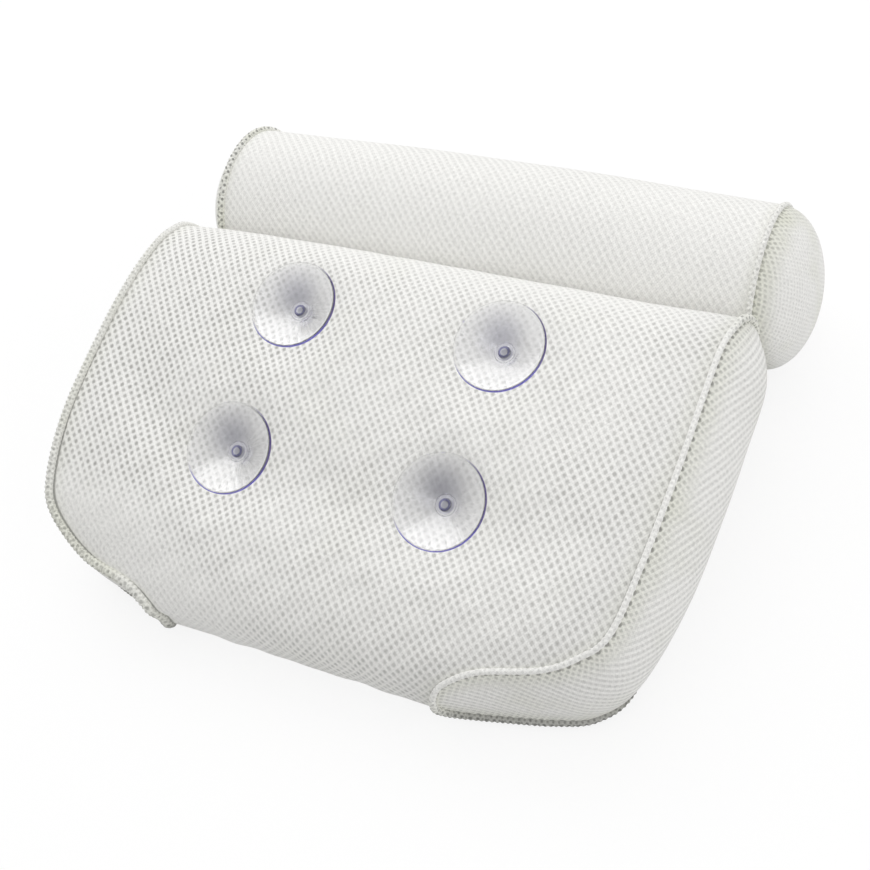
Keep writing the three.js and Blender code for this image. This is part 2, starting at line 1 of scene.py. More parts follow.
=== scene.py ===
import json
import math
import bmesh
import bpy
import numpy as np
from mathutils import Matrix
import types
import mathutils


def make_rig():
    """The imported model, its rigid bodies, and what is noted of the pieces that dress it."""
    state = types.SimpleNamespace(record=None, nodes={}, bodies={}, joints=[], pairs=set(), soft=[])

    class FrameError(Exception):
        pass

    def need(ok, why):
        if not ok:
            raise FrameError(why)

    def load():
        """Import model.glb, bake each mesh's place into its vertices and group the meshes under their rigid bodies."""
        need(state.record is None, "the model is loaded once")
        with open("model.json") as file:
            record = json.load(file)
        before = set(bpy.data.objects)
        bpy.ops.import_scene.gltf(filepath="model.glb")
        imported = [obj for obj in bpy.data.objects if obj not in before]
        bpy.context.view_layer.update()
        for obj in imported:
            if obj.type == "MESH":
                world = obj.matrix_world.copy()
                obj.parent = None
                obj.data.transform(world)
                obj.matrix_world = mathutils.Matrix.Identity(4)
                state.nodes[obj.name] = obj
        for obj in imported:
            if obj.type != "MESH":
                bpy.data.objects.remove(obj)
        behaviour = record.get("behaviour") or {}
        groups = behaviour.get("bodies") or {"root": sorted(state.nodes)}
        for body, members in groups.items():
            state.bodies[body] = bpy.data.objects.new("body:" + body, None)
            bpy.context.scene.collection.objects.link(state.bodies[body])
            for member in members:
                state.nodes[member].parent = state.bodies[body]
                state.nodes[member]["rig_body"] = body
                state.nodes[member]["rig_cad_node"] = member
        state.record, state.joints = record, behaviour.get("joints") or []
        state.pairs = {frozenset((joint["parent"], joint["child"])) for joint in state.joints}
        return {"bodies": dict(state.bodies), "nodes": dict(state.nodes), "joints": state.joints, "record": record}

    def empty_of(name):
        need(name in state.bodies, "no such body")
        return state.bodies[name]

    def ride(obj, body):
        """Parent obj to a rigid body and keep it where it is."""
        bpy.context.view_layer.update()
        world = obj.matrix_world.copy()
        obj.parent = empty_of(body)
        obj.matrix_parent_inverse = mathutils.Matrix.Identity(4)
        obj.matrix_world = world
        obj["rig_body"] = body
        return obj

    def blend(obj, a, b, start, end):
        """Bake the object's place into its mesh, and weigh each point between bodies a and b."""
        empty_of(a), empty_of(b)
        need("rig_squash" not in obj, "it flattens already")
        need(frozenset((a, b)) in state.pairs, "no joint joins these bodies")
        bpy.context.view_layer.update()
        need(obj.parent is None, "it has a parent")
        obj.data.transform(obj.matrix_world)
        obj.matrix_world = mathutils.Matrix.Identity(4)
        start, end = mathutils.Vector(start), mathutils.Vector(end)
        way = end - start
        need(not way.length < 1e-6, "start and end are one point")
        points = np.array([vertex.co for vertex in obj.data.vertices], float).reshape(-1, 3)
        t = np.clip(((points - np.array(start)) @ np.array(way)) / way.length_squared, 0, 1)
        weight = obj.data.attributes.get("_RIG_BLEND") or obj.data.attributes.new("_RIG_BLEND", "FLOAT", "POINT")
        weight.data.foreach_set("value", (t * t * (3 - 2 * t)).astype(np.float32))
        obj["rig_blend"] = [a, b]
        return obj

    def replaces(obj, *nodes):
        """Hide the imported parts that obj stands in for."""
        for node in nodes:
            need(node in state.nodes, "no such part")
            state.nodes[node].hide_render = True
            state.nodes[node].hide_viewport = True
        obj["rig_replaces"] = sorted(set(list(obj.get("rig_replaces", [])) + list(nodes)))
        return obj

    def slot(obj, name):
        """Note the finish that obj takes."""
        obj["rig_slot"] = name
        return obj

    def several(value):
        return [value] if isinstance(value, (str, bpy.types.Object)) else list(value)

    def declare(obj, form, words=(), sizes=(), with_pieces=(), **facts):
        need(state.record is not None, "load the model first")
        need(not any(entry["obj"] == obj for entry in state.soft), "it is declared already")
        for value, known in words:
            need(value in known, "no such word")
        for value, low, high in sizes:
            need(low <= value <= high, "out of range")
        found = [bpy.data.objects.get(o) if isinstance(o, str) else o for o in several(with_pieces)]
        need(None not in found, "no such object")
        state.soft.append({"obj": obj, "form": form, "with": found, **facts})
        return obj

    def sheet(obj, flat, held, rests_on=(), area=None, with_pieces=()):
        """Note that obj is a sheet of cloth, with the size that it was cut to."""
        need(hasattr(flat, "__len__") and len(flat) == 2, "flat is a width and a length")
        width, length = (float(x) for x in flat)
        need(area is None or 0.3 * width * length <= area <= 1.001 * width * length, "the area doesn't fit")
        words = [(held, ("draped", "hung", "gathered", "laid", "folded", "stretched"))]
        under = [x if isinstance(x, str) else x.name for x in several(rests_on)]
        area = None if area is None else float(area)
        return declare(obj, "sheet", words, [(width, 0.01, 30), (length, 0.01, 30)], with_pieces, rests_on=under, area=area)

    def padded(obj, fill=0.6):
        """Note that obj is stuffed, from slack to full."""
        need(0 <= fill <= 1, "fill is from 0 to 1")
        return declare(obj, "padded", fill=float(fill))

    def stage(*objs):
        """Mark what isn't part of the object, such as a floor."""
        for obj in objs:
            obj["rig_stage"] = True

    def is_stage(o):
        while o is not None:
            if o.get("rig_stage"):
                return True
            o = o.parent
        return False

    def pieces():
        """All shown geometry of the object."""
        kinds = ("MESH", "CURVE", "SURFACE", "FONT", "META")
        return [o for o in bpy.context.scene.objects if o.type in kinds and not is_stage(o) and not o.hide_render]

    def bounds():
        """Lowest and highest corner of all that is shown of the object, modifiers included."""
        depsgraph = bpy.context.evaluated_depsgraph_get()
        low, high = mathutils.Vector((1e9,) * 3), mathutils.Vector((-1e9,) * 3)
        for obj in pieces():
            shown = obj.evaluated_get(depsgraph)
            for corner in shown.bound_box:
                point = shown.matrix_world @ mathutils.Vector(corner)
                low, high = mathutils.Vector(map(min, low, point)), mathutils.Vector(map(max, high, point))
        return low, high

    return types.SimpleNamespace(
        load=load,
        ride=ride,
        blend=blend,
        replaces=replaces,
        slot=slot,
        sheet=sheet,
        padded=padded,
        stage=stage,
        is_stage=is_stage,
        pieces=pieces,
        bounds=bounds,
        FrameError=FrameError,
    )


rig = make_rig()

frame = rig.load()
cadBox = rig.bounds()
mm = 0.001

# Shapes are worked out in millimetres in the pad's own frame, from its front face up to its
# cup panel, and placed in the row frame, in metres, at the end.
pad = dict(length=237, depth=80, halfWidth=173, bulge=20, tilt=10.7, crown=2.2, noseRadius=27,
           noseBack=26.8, noseHeight=39.5, wall=3, cornerSwell=0.3, tipLead=0.4, slackPower=6,
           weaveFrom=0.6, loopSteps=300, acrossSteps=160, sideSteps=160, chordSteps=40)

# The seam round a side panel, from the tip of its tail up the cup side to the top end and back down the front face:
# shares of the half width, the length and the depth.
seamShares = np.array([
    (0.454, 0, 0.431), (0.474, 0.008, 0.581), (0.52, 0.03, 0.694), (0.607, 0.061, 0.769),
    (0.78, 0.089, 0.812), (0.884, 0.137, 0.881), (0.942, 0.205, 0.956), (0.971, 0.357, 1.044),
    (0.983, 0.568, 1.05), (0.983, 0.719, 1.031), (0.98, 0.846, 0.969), (0.987, 0.922, 0.869),
    (0.996, 0.968, 0.744), (1, 0.994, 0.494), (0.996, 0.968, 0.262), (0.988, 0.918, 0.188),
    (0.983, 0.846, 0.131), (0.971, 0.711, 0.106), (0.965, 0.559, 0.106), (0.965, 0.348, 0.119),
    (0.948, 0.171, 0.144), (0.879, 0.095, 0.156), (0.769, 0.061, 0.169), (0.607, 0.032, 0.188),
    (0.509, 0.013, 0.244), (0.465, 0.002, 0.331)])
# The pad's outline on its middle line at the same stations
middleShares = np.array([
    (0, 0.406), (0.006, 0.562), (0.025, 0.688), (0.057, 0.775), (0.103, 0.844), (0.154, 0.888),
    (0.213, 0.925), (0.357, 0.975), (0.568, 1), (0.719, 0.988), (0.846, 0.931), (0.918, 0.838),
    (0.968, 0.719), (1, 0.494), (0.968, 0.269), (0.914, 0.188), (0.846, 0.131), (0.711, 0.056),
    (0.559, 0.012), (0.348, 0), (0.171, 0.031), (0.091, 0.088), (0.051, 0.156), (0.025, 0.231),
    (0.011, 0.294), (0.002, 0.35)])
# How far a side panel swells at its stations, as shares of the bulge
bulgeShares = np.array([0, 0.07, 0.25, 0.42, 0.52, 0.62, 0.72, 0.87, 1, 1, 0.95, 0.68, 0.3, 0])
stationCount = len(seamShares)
topStation = stationCount / 2
# As the pillow lies its corners sit differently: what the first stations of each side add to the
# seam's shares, and how much of the swell is left there
leftShares = np.array([
    (0.058, 0.008, 0), (0.046, -0.002, -0.04), (0.016, -0.016, -0.094), (0.004, -0.021, -0.106),
    (0.004, -0.019, -0.106), (0.023, -0.004, -0.025), (0.006, 0, 0), (0, 0, 0), (0, 0, 0),
    (0, 0, 0), (0, -0.004, -0.006), (-0.002, -0.01, -0.022), (-0.004, -0.014, -0.034),
    (-0.004, -0.012, -0.028), (0, -0.005, -0.01)])
rightShares = np.array([
    (0, 0, 0), (-0.006, 0.006, 0.009), (-0.012, 0.007, 0.014), (-0.006, 0.012, 0.012),
    (-0.009, 0.019, 0.017), (-0.014, 0.011, 0.016), (-0.004, 0.001, 0.003)])


def sideAs(hand, cornerShares, flatTo, fullFrom, tipShift=0.0):
    kept = np.interp(np.arange(len(bulgeShares)), (flatTo, fullFrom), (pad["cornerSwell"], 1))
    added = np.pad(cornerShares, ((0, stationCount - len(cornerShares)), (0, 0)))
    added[-2:, 0] = tipShift * pad["tipLead"], tipShift      # the tail's tip on its front side
    return dict(hand=hand, seam=seamShares + added, bulge=(bulgeShares * kept)[:, None])


sides = {"right": sideAs(1, rightShares, 4, 7), "left": sideAs(-1, leftShares, 4, 8, 0.045)}

cup = dict(pitchX=123.6, pitchY=87.3, middle=134.5, seatHeight=70, droopUpper=8, droopLower=13,
           flatRadius=7.5, pull=16.5, fadeFrom=27, fadeRadius=52)
cups = [dict(name=str(2 * row + side + 1), x=(side - 0.5) * cup["pitchX"],
             y=cup["middle"] + (row - 0.5) * cup["pitchY"],
             droop=math.radians(cup["droopUpper"] if row else cup["droopLower"]))
        for row in (0, 1) for side in (0, 1)]


def jointPlace(name):
    return np.array(next(j for j in frame["joints"] if j["name"] == name)["pos_m"]) / mm


# The first cup's spin joint lies on its seat, which ties the pad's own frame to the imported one
tiltMatrix = np.array(Matrix.Rotation(math.radians(pad["tilt"]), 3, "X"))
firstSeat = tiltMatrix @ np.array([cups[0]["x"], cups[0]["y"], cup["seatHeight"]])
padOrigin = jointPlace("cup_spin_1") - firstSeat


def placed(points):
    return points @ tiltMatrix.T + padOrigin


def aboveFloor(points):
    # what would sink into the surface that the pillow lies on is pressed flat there
    points[..., 2] = np.maximum(points[..., 2], 0)
    return points


def laid(points):
    return aboveFloor(placed(points))


def alongTable(table, t, closed=True):
    # a smooth curve through the table's rows: the cubic that leaves each row along the line
    # between the rows on either side of it
    count = len(table)
    start = np.floor(t).astype(int) if closed else np.clip(np.floor(t).astype(int), 0, count - 2)
    part = (t - start)[..., None]
    rows = [start + k for k in (-1, 0, 1, 2)]
    a, b, c, d = (table[row % count if closed else np.clip(row, 0, count - 1)] for row in rows)
    swing = (2 * a - 5 * b + 4 * c - d) * part + (3 * b - a - 3 * c + d) * part ** 2
    return (2 * b + (c - a + swing) * part) / 2


def unit(vectors):
    return vectors / np.maximum(np.linalg.norm(vectors, axis=-1, keepdims=True), 1e-9)


def seamPoint(t, side):
    return alongTable(side["seam"], t) * np.array([pad["halfWidth"], pad["length"], pad["depth"]])


def middlePoint(t):
    flat = alongTable(middleShares, t) * np.array([pad["length"], pad["depth"]])
    return np.concatenate([np.zeros_like(flat[..., :1]), flat], -1)


def smoothStep(value, low, high):
    share = np.clip((value - low) / (high - low), 0, 1)
    return share * share * (3 - 2 * share)


# A shallow valley across the cup side, below the two lower cups and rising beyond them
valley = dict(depth=4.4, width=20, below=11, levelTo=50, riseLeft=0.0045, riseRight=0.001,
              fadeFrom=118, fadeTo=166)


def fromCup(points, one):
    return np.hypot(points[..., 0] - one["x"], points[..., 1] - one["y"])


def drawnToSeats(points, t):
    # the neck of each cup draws the panel down to its seat: the pull dies away with the distance
    onCupSide = (t % stationCount) <= topStation
    rise = np.where(points[..., 0] > 0, valley["riseRight"], valley["riseLeft"])
    climb = rise * np.maximum(0, np.abs(points[..., 0]) - valley["levelTo"]) ** 2
    offRow = (points[..., 1] - cups[0]["y"] + valley["below"] - climb) / valley["width"]
    across = 1 - smoothStep(np.abs(points[..., 0]), valley["fadeFrom"], valley["fadeTo"])
    points[..., 2] -= valley["depth"] * np.exp(-offRow ** 2) * across * onCupSide
    for one in cups:
        away = fromCup(points, one)
        pull = np.exp(-np.maximum(0, away - cup["flatRadius"]) / cup["pull"])
        pull *= (1 - smoothStep(away, cup["fadeFrom"], cup["fadeRadius"])) * onCupSide
        seat = cup["seatHeight"] + math.tan(one["droop"]) * (points[..., 1] - one["y"])
        points[..., 2] += (seat - points[..., 2]) * pull
    return points


def wrapPoint(t, s, edge, dipped=True):
    # between the middle line and an edge, crowned by a power of the share s across
    middle = middlePoint(t)
    crown = np.abs(s)[..., None] ** pad["crown"]
    points = middle + (edge - middle) * crown
    points[..., 0] = s * edge[..., 0]
    return drawnToSeats(points, t) if dipped else points


def sidePoint(j, w, side, edgeAt):
    # a chord from the front edge to the cup edge, swollen outwards by 1 - w squared
    def spine(k):
        station = np.clip(k, 0, topStation)
        return (edgeAt(station, side) + edgeAt(stationCount - station, side)) / 2
    along = spine(j + 0.5) - spine(j - 0.5)
    out = unit(np.stack([along[..., 1], -along[..., 0], np.zeros_like(along[..., 0])], -1))
    swell = alongTable(side["bulge"], j, False) * pad["bulge"]
    share = (w[..., None] + 1) / 2
    chord = edgeAt(stationCount - j, side) * (1 - share) + edgeAt(j, side) * share
    return chord + out * swell * (1 - w[..., None] ** 2)


def squareToSeam(t, direction, side):
    run = unit(seamPoint(t + 0.05, side) - seamPoint(t - 0.05, side))
    return unit(direction - run * (run * direction).sum(-1, keepdims=True))


def seamOut(t, side):
    # away from a core that lies inside the pad
    point = seamPoint(t, side)
    nose = pad["noseRadius"]
    core = np.stack([np.minimum(point[..., 0], pad["halfWidth"] - nose),
                     np.clip(point[..., 1], nose, pad["length"] - nose),
                     np.full(t.shape, pad["depth"] / 2)], -1)
    return squareToSeam(t, point - core, side)


# A seam is thin and tight on the right of the cup side, and a bold roll elsewhere: its boldness
# is given at the stations. Each panel's own edge lies inset from it, towards a place on the panel.
seam = dict(proud=0.6, inset=0.9, radius=1.45, boldRadius=0.8, beadPitch=2.7, bead=0.13,
            beadEven=0.6, ringRadius=2.2, wrapShare=0.9, sideShare=0.7, tipClear=0.6,
            padSteps=1400, rollSteps=700, ringSteps=16, boldness=dict(
                right=[(0, 0.7), (1.2, 0.05), (10.3, 0.05), (11.6, 0.75), (13, 0.8), (24, 1),
                       (26, 0.7)],
                left=[(0, 1.9), (3, 1.7), (4.5, 1.2), (6, 1), (9, 0.6), (11, 0.35), (13, 0.3),
                      (15, 0.6), (18, 1), (26, 1.9)]))


def wrapEdge(t, side):
    edge = seamPoint(t, side)
    inward = wrapPoint(t, np.full(t.shape, seam["wrapShare"]), edge) - edge
    return edge + squareToSeam(t, inward, side) * seam["inset"]


def sideEdge(t, side):
    upper = t % stationCount <= topStation
    j = np.where(upper, t % stationCount, stationCount - t % stationCount)
    within = np.clip(j, seam["tipClear"], topStation - seam["tipClear"])
    w = np.where(within == j, np.where(upper, 1, -1) * seam["sideShare"], 0)
    edge = seamPoint(t, side)
    inward = sidePoint(within, w, side, seamPoint) - edge
    return edge + squareToSeam(t, inward, side) * seam["inset"]


def sideSpine(side):
    return lambda j: (sideEdge(j, side) + sideEdge(stationCount - j, side)) / 2


def evenStations(line, count, start, end, fineCount=4000):
    # stations between start and end that lie at even lengths along a line
    fine = np.linspace(start, end, fineCount)
    steps = np.linalg.norm(np.diff(line(fine), axis=0), axis=1)
    length = np.concatenate([[0], np.cumsum(steps)])
    return np.interp(np.linspace(0, length[-1], count), length, fine)


def lengthsAlong(points, axis):
    steps = np.linalg.norm(np.diff(points, axis=axis), axis=-1)
    zero = np.zeros_like(np.take(steps, [0], axis=axis))
    return np.cumsum(np.concatenate([zero, steps], axis), axis)


def gridNormals(points, closedRows=False):
    # the cross product of the differences along and across the grid
    if closedRows:
        along = np.roll(points[:-1], -1, 0) - np.roll(points[:-1], 1, 0)
        along = np.concatenate([along, along[:1]])
    else:
        along = np.gradient(points, axis=0)
    return unit(np.cross(along, np.gradient(points, axis=1)))


def outwards(normals, axis):
    # turned over where the middle of the grid faces down its axis
    rows, cols = normals.shape[:2]
    return normals if normals[rows // 2, cols // 2, axis] > 0 else -normals


def mapOf(first, second):
    # two rows of lengths in millimetres as one map in metres
    return np.stack(np.broadcast_arrays(first, second), -1) * mm


def sheetOf(points, weave, bake, flip=False, edge=None):
    # one side of a piece: a grid of points, its weave map and its edge map in metres (length
    # along the nearest seam, distance from it), and its place in the bake
    rows, cols = points.shape[:2]
    corner = (np.arange(rows - 1)[:, None] * cols + np.arange(cols - 1)).reshape(-1, 1)
    order = np.array([0, 1, cols + 1, cols] if flip else [0, cols, cols + 1, 1])
    edge = np.full_like(weave, 0.1) if edge is None else edge
    return dict(points=points.reshape(-1, 3), quads=corner + order, weave=weave.reshape(-1, 2),
                edge=edge.reshape(-1, 2), bake=bake.reshape(-1, 2))


def bakeGrid(rows, cols, low, high):
    # an even grid of map places between two corners
    v, u = np.meshgrid(np.linspace(low[1], high[1], rows), np.linspace(low[0], high[0], cols),
                       indexing="ij")
    return np.stack([u, v], -1)


# Places in the bake: all of it, or the outer and the inner skin of a shell
bakeParts = dict(whole=((0.01, 0.01), (0.99, 0.99)), wide=((0.01, 0.01), (0.62, 0.99)),
                 outer=((0.01, 0.01), (0.6, 0.99)), inner=((0.65, 0.01), (0.95, 0.99)),
                 hidden=((0.65, 0.01), (0.95, 0.5)))


def bakeOf(points, part):
    return bakeGrid(*points.shape[:2], *bakeParts[part])


def fullTurn(steps):
    return np.linspace(0, 2 * math.pi, steps + 1)


def rimSheet(first, second, weave, low, high, flip=False):
    # the narrow strip between two rows of points
    bake = bakeGrid(2, len(first), low, high)
    return sheetOf(np.stack([first, second]), np.stack([weave, weave]), bake, flip)


def addObject(name, data):
    made = bpy.data.objects.new(name, data)
    bpy.context.scene.collection.objects.link(made)
    return made


def buildPiece(name, sheets, material, sharpDegrees=50):
    # joins the sheets into one closed mesh, with its doubles merged and its faces outwards
    starts = np.cumsum([0] + [len(s["points"]) for s in sheets])
    points = np.concatenate([s["points"] for s in sheets]) * mm
    quads = np.concatenate([s["quads"] + start for s, start in zip(sheets, starts)])
    mesh = bpy.data.meshes.new(name)
    mesh.from_pydata(points, [], quads)
    for layer, key in (("weave", "weave"), ("edge", "edge"), ("OFBake", "bake")):
        places = np.concatenate([s[key] for s in sheets])[quads.ravel()]
        mesh.uv_layers.new(name=layer).data.foreach_set("uv", places.astype(np.float32).ravel())
    body = bmesh.new()
    body.from_mesh(mesh)
    bmesh.ops.remove_doubles(body, verts=body.verts, dist=2e-6)
    bmesh.ops.dissolve_degenerate(body, edges=body.edges, dist=1e-7)
    bmesh.ops.recalc_face_normals(body, faces=body.faces)
    body.to_mesh(mesh)
    body.free()
    mesh.polygons.foreach_set("use_smooth", np.ones(len(mesh.polygons), bool))
    mesh.set_sharp_from_angle(angle=math.radians(sharpDegrees))
    mesh.materials.append(material)
    print(name, len(mesh.polygons), "faces")
    return addObject(name, mesh)


def declare(piece, body, node, slot, fill=None):
    # the body that a piece rides on, the node that it stands for, its slot and, if padded, its fill
    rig.ride(piece, body)
    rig.replaces(piece, node)
    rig.slot(piece, slot)
    if fill:
        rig.padded(piece, fill=fill)


class Term:
    # a number in a shader: sums and products of terms add their own Math nodes
    def __init__(self, finish, socket):
        self.finish, self.socket = finish, socket

    def math(self, operation, *values):
        made = self.finish.node("Math", dict(operation=operation), dict(enumerate(values)))
        return Term(self.finish, made.outputs[0])

    def __add__(self, other): return self.math("ADD", self, other)
    def __sub__(self, other): return self.math("SUBTRACT", self, other)
    def __rsub__(self, other): return self.math("SUBTRACT", other, self)
    def __mul__(self, other): return self.math("MULTIPLY", self, other)
    def __truediv__(self, other): return self.math("DIVIDE", self, other)
    def __pow__(self, other): return self.math("POWER", self, other)
    def __abs__(self): return self.math("ABSOLUTE", self)
    def __round__(self): return self.math("ROUND", self)


class Finish:
    # a material or a sky being made: node() adds any node, its settings set before its sockets
    def __init__(self, name, owner=None):
        self.owner = owner or bpy.data.materials.new(name)
        self.owner.use_nodes = True
        self.tree = self.owner.node_tree
        self.tree.nodes.clear()

    def node(self, kind, settings=None, values=None):
        made = self.tree.nodes.new("ShaderNode" + kind)
        for key, value in (settings or {}).items():
            setattr(made, key, value)
        for key, value in (values or {}).items():
            value = getattr(value, "socket", value)
            if isinstance(value, bpy.types.NodeSocket):
                self.tree.links.new(value, made.inputs[key])
            else:
                made.inputs[key].default_value = value
        return made

    def term(self, kind, settings=None, values=None, output=0):
        return Term(self, self.node(kind, settings, values).outputs[output])

    def axes(self, place):
        parts = self.node("SeparateXYZ", {}, {0: place})
        return [Term(self, parts.outputs[k]) for k in (0, 1, 2)]

    def place(self):
        return self.node("TexCoord").outputs["Object"]

    def mapInMillimetres(self, name):
        u, v = self.axes(self.node("UVMap", dict(uv_map=name)).outputs[0])[:2]
        return u * 1000, v * 1000

    def mixColour(self, factor, first, second, blend="MIX"):
        values = {0: factor, 6: first, 7: second}
        return self.node("Mix", dict(data_type="RGBA", blend_type=blend), values).outputs[2]

    def grey(self, shade):
        return self.node("CombineColor", {}, {0: shade, 1: shade, 2: shade}).outputs[0]

    def noise(self, place, scale, detail=2.0):
        return self.term("TexNoise", {}, {"Vector": place, "Scale": scale, "Detail": detail})

    def step(self, value, low, high):
        return self.term("MapRange", dict(interpolation_type="SMOOTHSTEP"),
                         {"Value": value, "From Min": low, "From Max": high})

    def fall(self, value, low, high):
        return 1 - self.step(value, low, high)

    def bump(self, strength, distance, height):
        values = {"Strength": strength, "Distance": distance, "Height": height}
        return self.node("Bump", {}, values).outputs[0]

    def principled(self, values):
        return self.node("BsdfPrincipled", {}, values).outputs[0]

    def mixShader(self, share, first, second):
        return self.node("MixShader", {}, {0: share, 1: first, 2: second}).outputs[0]

    def show(self, surface):
        self.node("OutputMaterial", {}, {"Surface": surface})
        return self.owner


def colour(r, g, b):
    return (r, g, b, 1)


# Air mesh: two families of yarn cross in a net, with a rounded hole in each of its diamonds
airMesh = dict(cellWide=4.8, cellTall=5.9, round=2.9, hole=0.11, yarn=0.48, ribEdge=(0.06, 0.44),
               shallow=0.7, deeper=0.4, holeEdge=(0.55, 1.2), fineScale=0.31,
               driftScale=34.0, warpDrift=1.8, cloudScale=21.0, cloudEdge=(0.5, 0.72),
               patchScale=13.0, patchEdge=(0.36, 0.6), patchLow=0.8, patchMore=0.2,
               fuzzScale=950.0, shade=0.67, shadeFine=0.1, shadeFuzz=0.5,
               netHeight=0.8, fineHeight=0.1, fuzzHeight=0.12, stitchDepth=0.6,
               # the holes show the inner layer in painted shade
               yarnColour=colour(0.93, 0.925, 0.9), holeColour=colour(0.46, 0.455, 0.435),
               # stitch holes and seam creases take this darker painted shade
               stitchColour=colour(0.3, 0.3, 0.29), tintColour=colour(0.86, 0.87, 0.79),
               roughness=0.82, sheen=0.1, sheenRoughness=0.5, bump=0.45, bumpDepth=0.0006)


def netOf(made, u, v, scale, ribs=0.0, yarn=None):
    # 0 in the middle of a hole and 1 on the yarn; ribs shows one family of yarn alone, the second
    # where it is below 0, and no two holes are quite as deep
    across, down = u / (airMesh["cellWide"] * scale), v / (airMesh["cellTall"] * scale)
    first, second = across + down, across - down
    p, q = abs(first - round(first)), abs(second - round(second))
    away = (p ** airMesh["round"] + q ** airMesh["round"]) ** (1 / airMesh["round"])
    cell = made.node("CombineXYZ", {}, {0: round(first), 1: round(second)})
    own = made.term("TexWhiteNoise", dict(noise_dimensions="2D"), {"Vector": cell.outputs[0]})
    holes = made.fall(away, airMesh["hole"], yarn or airMesh["yarn"])
    net = 1 - holes * (own * airMesh["deeper"] + airMesh["shallow"])
    family = made.step(p if ribs > 0 else q, *airMesh["ribEdge"])
    return net * (1 - abs(ribs)) + family * abs(ribs) if ribs else net


def greater(first, second):
    return second if first is None else first.math("MAXIMUM", first, second)


def holesInRow(made, along, away, row):
    # one row of round holes beside a seam: 1 in a hole and 0 outside it
    share = (along + row.get("shift", 0)) / row["pitch"]
    sideways = (share - round(share)) * (row["pitch"] / row["radius"])
    across = (away - row["away"]) / row["radius"]
    return made.fall((sideways ** 2 + across ** 2) ** 0.5, *airMesh["holeEdge"]) * row["depth"]


def fabricSurface(made, openness, fine, tint, dark=None, paintedShading=1):
    # yarn colour where the cloth is closed and the inner layer in painted shade where it is open, with a soft fuzz
    fuzz = made.noise(made.place(), airMesh["fuzzScale"], 3.0)
    body = made.mixColour(openness, airMesh["yarnColour"], airMesh["holeColour"])
    shade = fine * airMesh["shadeFine"] + fuzz * airMesh["shadeFuzz"] + airMesh["shade"]
    height = (1 - openness) * airMesh["netHeight"] + fine * airMesh["fineHeight"]
    height = height + fuzz * airMesh["fuzzHeight"]
    # stitch holes and the crease along a seam, in a darker painted shade
    if dark:
        body = made.mixColour(dark, body, airMesh["stitchColour"])
        height = height - dark * airMesh["stitchDepth"]
    lit = made.mixColour(1.0, body, made.grey(shade * paintedShading), "MULTIPLY")
    return made.show(made.principled({
        "Base Color": made.mixColour(tint, lit, airMesh["tintColour"], "MULTIPLY"),
        "Roughness": airMesh["roughness"], "Sheen Weight": airMesh["sheen"],
        "Sheen Roughness": airMesh["sheenRoughness"],
        "Normal": made.bump(airMesh["bump"], airMesh["bumpDepth"], height)}))


# Where the looks of a panel change: places in metres, distances from a seam in millimetres
changes = dict(toRight=(-0.12, 0.06), low=(-0.16, -0.04), top=(0.03, 0.06),
               corner=(-0.134, -0.106), cornerReach=(40, 110), hollow=0.07, hollowReach=(2, 42),
               yarnLeft=0.42, yarnAdded=0.05)
# Painted shade: the dark line in the crease along a seam, which lies further off where the ridge leans over the panel
crease = dict(width=(0.5, 1.5), off=0.35, low=(-0.12, -0.08), lowOff=0.8, lowest=(-0.15, -0.12),
              lowestOff=1.8, right=0.5, fade=(-0.09, -0.02), faded=0.75)


def creaseShadeOf(made, y, away, toRight):
    lower = made.fall(y, *crease["low"]) * crease["lowOff"]
    lowest = made.fall(y, *crease["lowest"]) * crease["lowestOff"]
    outside = away - (1 - toRight) * (lower + lowest + crease["off"])
    line = made.fall(outside, *crease["width"]) * (1 - toRight * crease["right"])
    return line * (1 - made.step(y, *crease["fade"]) * crease["faded"])


def dimplesOf(made, dimple, place):
    # how near a point is to the necks of the cups, and how much painted shade it takes from them
    near, depths = 0, 0
    for one, depth in zip(cups, dimple["depths"]):
        x, y = one["x"] - dimple["left"], one["y"] + dimple["above"]
        centre = placed(np.array([x, y, cup["seatHeight"]]))
        values = {0: place, 1: (centre * mm).tolist()}
        fromNeck = made.term("VectorMath", dict(operation="DISTANCE"), values, 1)
        here = made.fall(fromNeck, 0, dimple["reach"]) ** dimple["curve"]
        near, depths = here + near, here * depth + depths
    return near, depths


